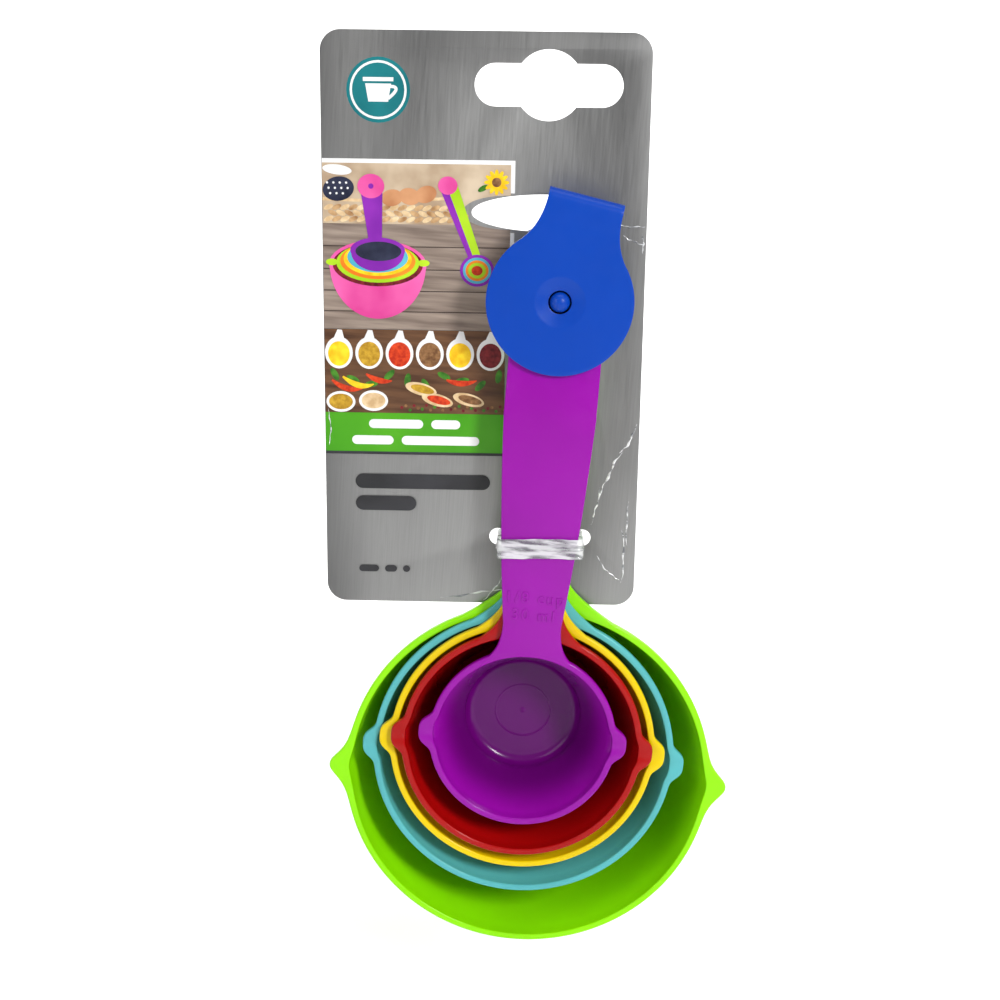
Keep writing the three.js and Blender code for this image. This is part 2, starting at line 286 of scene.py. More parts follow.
def slab(
    name: str,
    outline: np.ndarray,
    holes: list,
    front: float,
    thickness: float,
    edge: float,
    material: bpy.types.Material,
) -> bpy.types.Object:
    """A flat plate with rounded edges: rings follow a quarter round at the front and the back.

    Args:
        name: the piece's name.
        outline: counter-clockwise outline of X and Z, in mm.
        holes: clockwise outlines.
        front: Y of the front face.
        thickness: the plate's thickness.
        edge: radius of its edges.
        material: the finish.

    Returns:
        The plate.
    """
    turns = np.linspace(0, np.pi / 2, 5)
    depth_in = [(edge * (1 - math.sin(t)), edge * (1 - math.cos(t))) for t in turns]
    rings = depth_in + [(i, thickness - d) for i, d in reversed(depth_in)]
    points, faces, start, caps = [], [], 0, []
    for loop in [outline, *holes]:
        ring_points = [
            np.column_stack([inset(loop, i)[:, 0], np.full(len(loop), front + d), inset(loop, i)[:, 1]])
            for i, d in rings
        ]
        points += ring_points
        faces += (grid_faces(len(rings), len(loop), close_columns=True) + start).tolist()
        caps.append((start, len(loop), ring_points[0]))
        start += len(rings) * len(loop)
    numbers = np.concatenate([np.arange(first, first + count) for first, count, _ in caps])
    back = np.concatenate([np.full(count, (len(rings) - 1) * count) for _, count, _ in caps])
    flat = [[Vector((p[0], p[2], 0)) for p in ring] for _, _, ring in caps]
    triangles = np.array(tessellate_polygon(flat))
    faces += numbers[triangles].tolist()
    faces += (numbers + back)[triangles[:, ::-1]].tolist()
    piece = new_object(name, np.vstack(points), faces, material)
    recalculate_outwards(piece)
    return piece


def place(piece: bpy.types.Object, angle: float, x: float, z: float) -> bpy.types.Object:
    """Bakes a turn about Y and a shift into a piece's mesh.

    Args:
        piece: the object to place.
        angle: clockwise turn seen from the front, in radians.
        x: shift to the right in mm.
        z: shift upwards in mm.

    Returns:
        The same object.
    """
    count = len(piece.data.vertices)
    flat = np.empty(count * 3)
    piece.data.vertices.foreach_get("co", flat)
    moved = turn_about_y(flat.reshape(-1, 3) / MM, angle, x, z) * MM
    piece.data.vertices.foreach_set("co", moved.ravel())
    piece.data.update()
    return piece


# ---------------------------------------------------------------- finishes


@dataclass(frozen=True)
class NodeMaker:
    """Short calls for building one material's node tree."""

    tree: bpy.types.NodeTree

    def add(self, kind: str, **settings: object) -> bpy.types.Node:
        """Adds a node and sets its properties and unlinked inputs.

        Args:
            kind: the node's type name.
            **settings: properties, or else unlinked inputs, with _ for a space in the input's name.

        Returns:
            The node.
        """
        node = self.tree.nodes.new(kind)
        for key, value in settings.items():
            if hasattr(node, key):
                setattr(node, key, value)
            else:
                node.inputs[key.replace("_", " ")].default_value = value
        return node

    def link(self, source: bpy.types.NodeSocket, target: bpy.types.NodeSocket) -> None:
        """Joins two sockets.

        Args:
            source: an output.
            target: an input.
        """
        self.tree.links.new(source, target)

    def noise(self, scale: float, stretch: tuple = (1, 1, 1), detail: float = 3.0) -> bpy.types.NodeSocket:
        """Noise on the piece's own coordinates.

        Args:
            scale: cycles per metre.
            stretch: factor on each axis.
            detail: octaves.

        Returns:
            The noise value's socket.
        """
        coordinates = self.add("ShaderNodeTexCoord")
        mapping = self.add("ShaderNodeMapping")
        mapping.inputs["Scale"].default_value = stretch
        texture = self.add("ShaderNodeTexNoise", Scale=scale, Detail=detail)
        self.link(coordinates.outputs["Object"], mapping.inputs["Vector"])
        self.link(mapping.outputs["Vector"], texture.inputs["Vector"])
        return texture.outputs["Fac"]

    def ramp(self, value: bpy.types.NodeSocket, stops: list) -> bpy.types.NodeSocket:
        """A colour ramp.

        Args:
            value: the socket that drives it.
            stops: pairs of position and colour.

        Returns:
            The colour's socket.
        """
        node = self.add("ShaderNodeValToRGB")
        elements = node.color_ramp.elements
        while len(elements) < len(stops):
            elements.new(0.5)
        for element, (position, colour) in zip(elements, stops):
            element.position = position
            element.color = (*colour, 1)
        self.link(value, node.inputs["Fac"])
        return node.outputs["Color"]

    def between(self, value: bpy.types.NodeSocket, low: float, high: float) -> bpy.types.NodeSocket:
        """Maps 0.25 to 0.75, where noise mostly lies, onto low to high.

        Args:
            value: the socket to map.
            low: result at 0.25.
            high: result at 0.75.

        Returns:
            The mapped value's socket.
        """
        node = self.add("ShaderNodeMapRange")
        node.inputs["From Min"].default_value = 0.25
        node.inputs["From Max"].default_value = 0.75
        node.inputs["To Min"].default_value = low
        node.inputs["To Max"].default_value = high
        self.link(value, node.inputs["Value"])
        return node.outputs["Result"]

    def bump(self, value: bpy.types.NodeSocket, height: float, strength: float = 1.0) -> bpy.types.NodeSocket:
        """A bump from a height in metres.

        Args:
            value: the socket with the height pattern.
            height: metres between its lowest and highest.
            strength: the bump's strength.

        Returns:
            The normal's socket.
        """
        node = self.add("ShaderNodeBump", Strength=strength, Distance=height)
        self.link(value, node.inputs["Height"])
        return node.outputs["Normal"]


def new_material(name: str) -> tuple:
    """A node material with its principled shader.

    Args:
        name: the material's name.

    Returns:
        The material, its shader node and a node maker.
    """
    material = bpy.data.materials.new(name)
    material.use_nodes = True
    shader = material.node_tree.nodes["Principled BSDF"]
    return material, shader, NodeMaker(material.node_tree)


def tinted(colour: tuple, factor: float) -> tuple:
    """A colour made lighter or darker.

    Args:
        colour: linear red, green and blue.
        factor: above 1 is lighter.

    Returns:
        The new colour.
    """
    return tuple(min(1.0, channel * factor) for channel in colour)


@dataclass(frozen=True)
class MouldedPlastic:
    """Glossy injection-moulded plastic with flow clouds, a very fine uneven skin and, where set, painted
    shade with depth.
    """

    name: str
    colour: tuple
    roughness: float = 0.2
    glow: float = 0.12
    cloud: float = 0.06
    # shade_from, shade_to and shade set painted shade: the colour darkens between these depths in mm down to
    # this factor.
    shade_from: float = 0.0
    shade_to: float = 0.0
    shade: float = 0.55

    def painted_depth_shade(self, nodes: NodeMaker, colour: bpy.types.NodeSocket) -> bpy.types.NodeSocket:
        """Paints shade: darkens the colour with depth behind the mouth, as painted shade deep in the cup.

        Args:
            nodes: the material's node maker.
            colour: the colour at the rim.

        Returns:
            The socket of the colour with its painted shade.
        """
        place_in_mesh = nodes.add("ShaderNodeTexCoord")
        split = nodes.add("ShaderNodeSeparateXYZ")
        nodes.link(place_in_mesh.outputs["Object"], split.inputs["Vector"])
        reach = nodes.add("ShaderNodeMapRange", interpolation_type="SMOOTHSTEP")
        reach.inputs["From Min"].default_value = self.shade_from * MM
        reach.inputs["From Max"].default_value = self.shade_to * MM
        nodes.link(split.outputs["Y"], reach.inputs["Value"])
        level = nodes.ramp(reach.outputs["Result"], [(0.0, (1.0, 1.0, 1.0)), (1.0, (self.shade,) * 3)])
        mix = nodes.add("ShaderNodeMix", data_type="RGBA", blend_type="MULTIPLY")
        mix.inputs["Factor"].default_value = 1.0
        nodes.link(colour, mix.inputs["A"])
        nodes.link(level, mix.inputs["B"])
        return mix.outputs["Result"]

    def material(self) -> bpy.types.Material:
        """Builds the node material."""
        material, shader, nodes = new_material(self.name)
        clouds = nodes.noise(38, detail=4)
        low, high = tinted(self.colour, 1 - self.cloud), tinted(self.colour, 1 + self.cloud)
        colour = nodes.ramp(clouds, [(0.3, low), (0.7, high)])
        # Painted shade: when shade_to is set, the colour darkens with depth behind the cup's mouth.
        nodes.link(self.painted_depth_shade(nodes, colour) if self.shade_to else colour, shader.inputs["Base Color"])
        skin = nodes.noise(420, detail=5)
        spread = nodes.between(skin, self.roughness - 0.05, self.roughness + 0.07)
        nodes.link(spread, shader.inputs["Roughness"])
        nodes.link(nodes.bump(skin, 0.000006, 0.2), shader.inputs["Normal"])
        shader.inputs["Subsurface Weight"].default_value = self.glow
        shader.inputs["Subsurface Radius"].default_value = tuple(0.4 + c for c in self.colour)
        shader.inputs["Subsurface Scale"].default_value = 0.0022
        shader.inputs["Specular IOR Level"].default_value = 0.18
        shader.inputs["Coat Weight"].default_value = 0.12
        shader.inputs["Coat Roughness"].default_value = 0.04
        return material


@dataclass(frozen=True)
class MetallicLaminate:
    """Brushed silver foil on board under clear laminate, with soft light and dark clouds."""

    name: str = "silver_laminate"

    def material(self) -> bpy.types.Material:
        """Builds the node material."""
        material, shader, nodes = new_material(self.name)
        clouds = nodes.noise(24, stretch=(1, 1, 0.25), detail=1)
        grain = nodes.noise(2600, stretch=(1, 1, 0.03), detail=3)
        tone = nodes.ramp(clouds, [(0.36, (0.11, 0.11, 0.11)), (0.64, (0.32, 0.32, 0.315))])
        fine = nodes.ramp(grain, [(0.3, (0.88, 0.88, 0.88)), (0.7, (1.0, 1.0, 1.0))])
        mix = nodes.add("ShaderNodeMix", data_type="RGBA", blend_type="MULTIPLY")
        mix.inputs["Factor"].default_value = 1.0
        nodes.link(tone, mix.inputs["A"])
        nodes.link(fine, mix.inputs["B"])
        nodes.link(mix.outputs["Result"], shader.inputs["Base Color"])
        nodes.link(nodes.between(grain, 0.36, 0.5), shader.inputs["Roughness"])
        nodes.link(nodes.bump(clouds, 0.0006, 0.12), shader.inputs["Normal"])
        shader.inputs["Metallic"].default_value = 0.7
        shader.inputs["Coat Weight"].default_value = 0.15
        shader.inputs["Coat Roughness"].default_value = 0.2
        return material


@dataclass(frozen=True)
class ClearFilm:
    """Clear plastic film with painted sheen and painted reflections: bright creases and dark tones between
    them in its colour.
    """

    name: str
    alpha: float = 0.5

    def material(self) -> bpy.types.Material:
        """Builds the node material."""
        material, shader, nodes = new_material(self.name)
        creases = nodes.noise(230, stretch=(0.5, 1, 2.6), detail=3)
        nodes.link(nodes.bump(creases, 0.0009, 0.9), shader.inputs["Normal"])
        # Painted sheen and painted reflection: noise creases set bright and dark tones in the film's colour.
        shade = nodes.ramp(creases, [(0.38, (0.16, 0.17, 0.18)), (0.56, (0.92, 0.93, 0.94))])
        nodes.link(shade, shader.inputs["Base Color"])
        shader.inputs["Alpha"].default_value = self.alpha
        shader.inputs["Roughness"].default_value = 0.08
        shader.inputs["Specular IOR Level"].default_value = 1.0
        shader.inputs["Coat Weight"].default_value = 0.8
        shader.inputs["Coat Roughness"].default_value = 0.05
        return material


@dataclass(frozen=True)
class BrightWire:
    """Drawn steel wire."""

    name: str = "drawn_wire"

    def material(self) -> bpy.types.Material:
        """Builds the node material."""
        material, shader, nodes = new_material(self.name)
        streaks = nodes.noise(700, stretch=(0.1, 1, 1))
        tone = nodes.ramp(streaks, [(0.3, (0.4, 0.41, 0.43)), (0.7, (0.68, 0.69, 0.7))])
        nodes.link(tone, shader.inputs["Base Color"])
        nodes.link(nodes.between(streaks, 0.22, 0.4), shader.inputs["Roughness"])
        shader.inputs["Metallic"].default_value = 1.0
        return material


@dataclass(frozen=True)
class PrintedInk:
    """Printed ink under laminate: a colour that drifts between two tones."""

    name: str
    dark: tuple
    light: tuple
    scale: float = 120
    stretch: tuple = (1, 1, 1)
    detail: float = 3

    def material(self) -> bpy.types.Material:
        """Builds the node material."""
        material, shader, nodes = new_material(self.name)
        drift = nodes.noise(self.scale, stretch=self.stretch, detail=self.detail)
        nodes.link(nodes.ramp(drift, [(0.32, self.dark), (0.68, self.light)]), shader.inputs["Base Color"])
        nodes.link(nodes.between(drift, 0.3, 0.38), shader.inputs["Roughness"])
        shader.inputs["Specular IOR Level"].default_value = 0.3
        shader.inputs["Coat Weight"].default_value = 0.1
        shader.inputs["Coat Roughness"].default_value = 0.15
        return material


# ---------------------------------------------------------------- cups


class SpoutForm(Enum):
    """The two kinds of pouring spout on the rims."""

    LUG = "lug"
    BEAK = "beak"


@dataclass
class Spout:
    """A pouring spout drawn out of a rim on the left and right."""

    form: SpoutForm
    proud: float
    half_width: float
    inner_share: float
    below: float
    reach_down: float

    def outline(self, along: np.ndarray) -> np.ndarray:
        """How far the rim stands out, 0 to 1, at a distance along it from the spout's middle.

        A lug is a flat-topped bell, exp(-(u/0.86)^3.6). A beak is exp(-(v/0.46)^1.25), where v is
        u with its tip rounded off.

        Args:
            along: distance along the rim in mm.

        Returns:
            The share of the spout's full reach.
        """
        u = np.abs(along) / self.half_width
        if self.form is SpoutForm.LUG:
            return np.exp(-((u / 0.86) ** 3.6))
        tip = 0.16
        v = np.sqrt(u**2 + tip**2) - tip
        return np.exp(-((v / 0.44) ** 1.3))

    def fade(self, depth: np.ndarray, rim_height: float) -> np.ndarray:
        """Share of the reach left at a depth: all of it on the rim, then a smooth run-out.

        Args:
            depth: depth below the mouth in mm.
            rim_height: height of the rim band.

        Returns:
            The share from 0 to 1.
        """
        past = np.clip((depth - rim_height) / self.reach_down, 0, 1)
        lower = self.below * (1 - past) ** 2 * (1 + 2 * past)
        step = np.clip((depth - rim_height) / 0.35, 0, 1)
        return np.where(depth <= rim_height, 1.0, (1 - step) + step * lower)


@dataclass
class MeasuringCup:
    """One cup: bowl, rim, two spouts and a flat handle, all one moulding."""

    node: str
    finish: MouldedPlastic
    rim: float
    floor: float
    depth: float
    centre: float
    front: float
    spout: Spout
    marks: tuple = ()
    swing: float = 0.0
    wall: float = 1.3
    rim_width: float = 1.9
    rim_height: float = 2.0
    floor_round: float = 3.0
    handle_thickness: float = 2.0
    end_radius: float = 12.3
    eye_radius: float = 3.6
    shoulder: tuple = (12.5, -31.0)
    neck_half: float = 8.1
    flare_rise: float = 7.5
    flare_angle: float = 31.0
    columns: int = 360
    pieces: list = field(default_factory=list)

    def section(self) -> tuple:
        """The wall's section from the middle of the inner floor over the rim to the outer floor.

        Straight runs between quarter rounds. The floor's rows crowd at the moulded ring.

        Returns:
            Rows of radius and depth, and for each row its share of the spout's reach.
        """
        inner = self.rim - self.rim_width
        r, w = self.floor_round, self.wall
        ring = min(8.0, self.floor * 0.5)
        floor_rows = np.concatenate(
            [[0.35, 0.7, 0.9, 1.2], np.linspace(2, ring - 0.8, 5), np.linspace(ring - 0.5, ring + 0.5, 11),
             np.linspace(ring + 1, self.floor - r, 8)]
        )
        ridge = 0.10 * np.exp(-(((floor_rows - ring) / 0.2) ** 2)) + 0.2 * np.exp(-((floor_rows / 0.6) ** 4))
        inner_floor = np.stack([floor_rows, self.depth - ridge], -1)
        inner_corner = arc(self.floor - r, self.depth - r, r, 90, 8, 10)
        inner_wall = np.linspace([self.floor, self.depth - r - 0.4], [inner - 0.1, self.rim_height], 16)
        mouth_in = arc(inner + 0.45, 0.45, 0.45, 180, 270, 6)
        mouth_out = arc(self.rim - 0.55, 0.55, 0.55, -90, 0, 7)
        low = self.rim_height
        band = np.array([[self.rim, 1.0], [self.rim, low - 0.25], [self.rim - 0.12, low]])
        under = np.array([[inner + w + 0.25, self.rim_height + 0.02], [inner + w, self.rim_height + 0.25]])
        outer_wall = np.linspace([inner + w - 0.05, low + 0.6], [self.floor + w, self.depth - r], 16)
        corner_out = arc(self.floor - r, self.depth - r, r + w, 5, 90, 10)
        outer_floor = np.stack([np.linspace(self.floor - r - 1, 0.5, 6), np.full(6, self.depth + w)], -1)
        inside = [inner_floor, inner_corner, inner_wall, mouth_in]
        outside = [mouth_out, band, under, outer_wall, corner_out, outer_floor]
        rows = np.vstack(inside + outside)
        shares = np.concatenate([np.full(sum(map(len, inside)), self.spout.inner_share),
                                 np.ones(sum(map(len, outside)))])
        return rows, shares

    def bowl(self, material: bpy.types.Material) -> bpy.types.Object:
        """The bowl: the section turned about the cup's axis, pushed out at the two spouts.

        Radius = section radius + reach * outline(distance from the spout) * fade(depth) * share.
        The columns crowd towards the spouts by angle - 0.3 sin(2 angle).

        Args:
            material: the finish.

        Returns:
            The bowl, placed in the set.
        """
        rows, shares = self.section()
        even = np.linspace(0, 2 * np.pi, self.columns, endpoint=False)
        angle = even - 0.3 * np.sin(2 * even)
        along = np.arcsin(np.abs(np.sin(angle))) * self.rim
        reach = self.spout.proud * self.spout.outline(along)[None, :]
        fade = self.spout.fade(rows[:, 1], self.rim_height) * shares
        fade = fade * np.clip((rows[:, 0] - 0.5 * self.floor) / (0.5 * self.floor), 0, 1)
        radius = rows[:, 0:1] + reach * fade[:, None]
        dip = self.lip_dip(rows, along)
        depth = self.front + rows[:, 1:2] + dip
        points = np.stack([radius * np.cos(angle), depth, radius * np.sin(angle)], -1).reshape(-1, 3)
        poles = np.array([[0, self.front + self.depth - 0.2, 0], [0, self.front + self.depth + self.wall, 0]])
        faces = capped_faces(len(rows), self.columns)
        piece = new_object(f"{self.node}_bowl", np.vstack([points, poles]), faces, material)
        recalculate_outwards(piece)
        place(piece, 0, 0, self.centre)
        return place(piece, -math.radians(self.swing), STUD[0], STUD[2])

    def lip_dip(self, rows: np.ndarray, along: np.ndarray) -> np.ndarray:
        """A shallow hollow across the top of each spout, for the liquid to run over.

        Args:
            rows: the section's rows.
            along: each column's distance along the rim from its spout.

        Returns:
            How far each vertex sinks below the mouth, in mm.
        """
        top = np.exp(-((rows[:, 1] / 1.1) ** 2))[:, None] * (rows[:, 0:1] > self.floor)
        return 0.5 * top * np.exp(-((along / (0.5 * self.spout.half_width)) ** 2))[None, :]

    def handle_outline(self) -> np.ndarray:
        """The handle's outline from the stud: round end, long taper, neck and flare to the rim.

        Returns:
            A counter-clockwise outline of X and Z, measured from the stud.
        """
        angle = math.radians(self.flare_angle)
        landing, inside = self.rim - 0.25 * self.rim_width, self.rim - 0.7 * self.rim_width
        flare = np.array([landing * math.sin(angle), self.centre + landing * math.cos(angle)])
        tangent = flare[1] + (flare[0] - self.neck_half) * math.tan(angle)
        neck = np.array([self.neck_half, self.centre + self.rim + self.flare_rise])
        bend = self.shoulder[1] * 0.45 + neck[1] * 0.55
        taper = bezier([self.shoulder, (self.shoulder[0] - 1.2, bend), neck], 30)
        sweep = bezier([neck, (self.neck_half, tangent), flare], 24)
        left = np.vstack([taper, sweep[1:]]) * [-1, 1]
        right = np.vstack([taper, sweep[1:]])[::-1]
        mouth = arc(0, self.centre, inside, 90 + self.flare_angle, 90 - self.flare_angle, 40)
        return without_doubles(np.vstack([arc(0, 0, self.end_radius, 0, 180, 48), left, mouth, right]))

    def handle(self, material: bpy.types.Material) -> bpy.types.Object:
        """The flat handle with its eye, a hair proud of the rim so that they read as one.

        Args:
            material: the finish.

        Returns:
            The handle, placed in the set.
        """
        eye = arc(0, 0, self.eye_radius, 360, 7.5, 48)
        front = self.front - 0.02
        name = f"{self.node}_handle"
        piece = slab(name, self.handle_outline(), [eye], front, self.handle_thickness, 0.42, material)
        return place(piece, -math.radians(self.swing), STUD[0], STUD[2])

    def measure_marks(self, material: bpy.types.Material) -> list:
        """The raised measure on the handle's neck, as low letters with soft edges.

        Args:
            material: the finish.

        Returns:
            One object for each line.
        """
        lines = []
        for number, text in enumerate(self.marks):
            curve = bpy.data.curves.new(f"{self.node}_mark_{number}", "FONT")
            curve.body = text
            curve.size = 4.4 * MM
            curve.extrude = 0.20 * MM
            curve.bevel_depth = 0.06 * MM
            curve.space_character = 1.25
            curve.align_x = "CENTER"
            holder = bpy.data.objects.new("mark", curve)
            bpy.context.scene.collection.objects.link(holder)
            bpy.context.view_layer.update()
            graph = bpy.context.evaluated_depsgraph_get()
            mesh = bpy.data.meshes.new_from_object(holder.evaluated_get(graph))
            bpy.data.objects.remove(holder)
            drop = self.centre + self.rim + 14.2 - 5.0 * number
            rise = Matrix.Translation((STUD[0] * MM, self.front * MM, (STUD[2] + drop) * MM))
            mesh.transform(rise @ Matrix.Rotation(math.pi / 2, 4, "X"))
            mesh.materials.clear()
            mesh.materials.append(material)
            piece = bpy.data.objects.new(f"{self.node}_mark_{number}", mesh)
            bpy.context.scene.collection.objects.link(piece)
            lines.append(piece)
        return lines

    def build(self) -> None:
        """Builds the cup's pieces and rides them on the cup's body."""
        material = self.finish.material()
        self.pieces = [self.bowl(material), self.handle(material), *self.measure_marks(material)]
        for piece in self.pieces:
            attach(piece, self.node)
        for piece in self.pieces[:2]:
            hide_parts(self.node)
        log.info("%s: %d pieces", self.node, len(self.pieces))


# ---------------------------------------------------------------- clip


@dataclass
class FoldingClip:
    """The clip: two discs and the band that folds over between them, one bent sheet, and a stud."""

    finish: MouldedPlastic
    front: float
    back: float
    thickness: float = 1.4
    disc_radius: float = 19.5
    band_half: float = 10.0
    slot_half: float = 6.6
    top: float = 27.6
    fold_radius: float = 1.7
    hole_radius: float = 3.1
    dish_radius: float = 6.7
    dish_depth: float = 0.85

    def outline(self) -> np.ndarray:
        """The leaf's outline: top edge from left to right, then the right side, disc and left side.

        Returns:
            Points of X and Z; the first band_columns() of them are the straight top edge.
        """
        level = self.top - self.fold_radius
        edge_angle = math.degrees(math.asin(14.0 / self.disc_radius))
        start = arc(0, 0, self.disc_radius, 90 - edge_angle, 90 - edge_angle, 1)[0]
        top_edge = np.linspace([-self.band_half, level], [self.band_half, level], self.band_columns())
        side = bezier([(self.band_half, level), (self.band_half, level - 7.5), start], 16)[1:]
        disc = arc(0, 0, self.disc_radius, 90 - edge_angle, edge_angle - 270, 150)[1:]
        return np.vstack([top_edge, side, disc, (side * [-1, 1])[::-1][1:]])

    def band_columns(self) -> int:
        """How many columns of vertices run along the band."""
        return 21

    def leaf(self, level: float, hollow: bool) -> np.ndarray:
        """A leaf's middle surface: rays from its hole, or its middle, out to the outline.

        Args:
            level: the surface's Y.
            hollow: whether it has the dished hole.

        Returns:
            Rows of points from the hole to the outline.
        """
        edge = self.outline()
        length = np.linalg.norm(edge, axis=1)
        way = edge / length[:, None]
        first = self.hole_radius if hollow else 0.4
        near = np.concatenate([np.linspace(first, self.dish_radius + 0.8, 14), [self.dish_radius + 2]])
        share = np.linspace(0, 1, 12)[1:]
        radius = np.vstack([np.repeat(near[:, None], len(edge), 1),
                            near[-1] + share[:, None] * (length - near[-1])[None, :]])
        return np.stack([radius * way[:, 0], level + 0 * radius, radius * way[:, 1]], -1)

    def press_dish(self, mesh: bpy.types.Mesh) -> None:
        """Sinks the front face into a shallow cone round the stud; the back face stays flat.

        Args:
            mesh: the clip's mesh, before it is turned to its lean.
        """
        flat = np.empty(len(mesh.vertices) * 3)
        mesh.vertices.foreach_get("co", flat)
        points = flat.reshape(-1, 3) / MM
        radius = np.hypot(points[:, 0], points[:, 2])
        ramp = np.clip((self.dish_radius - radius) / (self.dish_radius - self.hole_radius), 0, 1)
        outer_face = points[:, 1] < self.front + self.thickness / 2
        points[:, 1] += np.where(outer_face, self.dish_depth * ramp**0.9, 0)
        mesh.vertices.foreach_set("co", (points * MM).ravel())
        mesh.update()

    def band_route(self) -> np.ndarray:
        """The band's middle line in Y and Z: a tight fold, a run back and down through the slot.

        Returns:
            Points from the front leaf's top edge to the back leaf's.
        """
        level = self.top - self.fold_radius
        y_front, y_back = self.front + self.thickness / 2, self.back + self.thickness / 2
        fold = arc(y_front + self.fold_radius, level, self.fold_radius, 180, 96, 9)
        run = bezier([fold[-1], (-5.0, self.top + 0.3), (y_back, 26.2), (y_back, 20.3)], 30)
        return np.vstack([fold[1:], run[1:]])

    def sheet(self) -> tuple:
        """The whole clip's middle surface.

        Returns:
            Its points and its faces.
        """
        front = self.leaf(self.front + self.thickness / 2, True)
        back = self.leaf(self.back + self.thickness / 2, False)
        rows, columns = front.shape[:2]
        route = self.band_route()
        drop = np.linspace(0, 1, len(route))[:, None]
        closing = np.clip((route[:, 0] + 6.5) / 5.0, 0, 1)
        half = self.band_half + (self.slot_half - self.band_half) * closing**2 * (3 - 2 * closing)
        across = np.linspace(-1, 1, self.band_columns())
        band = np.stack([half[:, None] * across, 0 * drop + route[:, 0:1] + 0 * across,
                         route[:, 1:2] + 0 * across], -1)
        last_front = (rows - 1) * columns + np.arange(self.band_columns())
        band_start = 2 * rows * columns
        numbers = band_start + np.arange(len(route) * self.band_columns()).reshape(len(route), -1)
        strips = np.vstack([last_front[None, :], numbers])
        quads = np.stack([strips[:-1, :-1], strips[1:, :-1], strips[1:, 1:], strips[:-1, 1:]], -1)
        leaf_faces = grid_faces(rows, columns, close_columns=True)
        faces = leaf_faces.tolist() + (leaf_faces[:, ::-1] + rows * columns).tolist()
        middle = (rows * columns + np.arange(columns)).tolist()
        points = np.vstack([front.reshape(-1, 3), self.round_back(back).reshape(-1, 3), band.reshape(-1, 3)])
        return points, faces + [middle] + quads.reshape(-1, 4).tolist()

    def round_back(self, leaf: np.ndarray) -> np.ndarray:
        """Pulls the back leaf's band corners in to the plain disc, where the narrow band lands.

        Args:
            leaf: the leaf's rows of points.

        Returns:
            The leaf with no point outside the disc.
        """
        radius = np.hypot(leaf[..., 0], leaf[..., 2])
        limit = np.minimum(1, self.disc_radius / np.maximum(radius, 1e-6))
        rounded = leaf.copy()
        rounded[..., 0] *= limit
        rounded[..., 2] *= limit
        return rounded

    def build_sheet(self, material: bpy.types.Material) -> bpy.types.Object:
        """The clip's moulding, thickened both ways and eased along its edges.

        Args:
            material: the finish.

        Returns:
            The clip, placed on the stud.
        """
        points, faces = self.sheet()
        piece = new_object("folding_clip", points, faces, material)
        thick = piece.modifiers.new("wall", "SOLIDIFY")
        thick.thickness = self.thickness * MM
        thick.offset = 0
        thick.use_even_offset = True
        ease = piece.modifiers.new("eased_edges", "BEVEL")
        ease.width = 0.28 * MM
        ease.segments = 3
        ease.limit_method = "ANGLE"
        ease.angle_limit = math.radians(50)
        bpy.context.view_layer.update()
        graph = bpy.context.evaluated_depsgraph_get()
        mesh = bpy.data.meshes.new_from_object(piece.evaluated_get(graph))
        piece.modifiers.clear()
        piece.data = mesh
        self.press_dish(mesh)
        mesh.shade_smooth()
        mesh.set_sharp_from_angle(angle=SMOOTH_ANGLE)
        return place(piece, CLIP_LEAN, STUD[0], STUD[2])

    def build_stud(self, material: bpy.types.Material) -> bpy.types.Object:
        """The stud: a ball head on a narrow neck, and a shaft to the back disc.

        Args:
            material: the finish.

        Returns:
            The stud, placed on its axis.
        """
        tip = self.front - 1.0
        head = arc(0, 0, 2.65, -90, 40, 20) * [1, 0.9] + [0, tip + 2.4]
        neck = np.array([[1.9, tip + 4.6], [2.4, tip + 5.4], [2.5, tip + 6.2]])
        sunk = self.back + 0.5
        root = np.array([[2.5, self.back - 0.6], [3.1, self.back], [3.1, sunk], [0, sunk]])
        stud = revolved("clip_stud", np.vstack([head, neck, root]), material, 64)
        recalculate_outwards(stud)
        return place(stud, 0, STUD[0], STUD[2])

    def build(self) -> None:
        """Builds the clip's moulding and its stud, and rides the stud on the clip's back."""
        material = self.finish.material()
        moulding = self.build_sheet(material)
        stud = self.build_stud(material)
        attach(stud, "clip_back")
        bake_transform(moulding)
        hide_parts("clip_back_leaf", "clip_front_leaf")
        log.info("clip: moulding and stud")


# ---------------------------------------------------------------- hang card


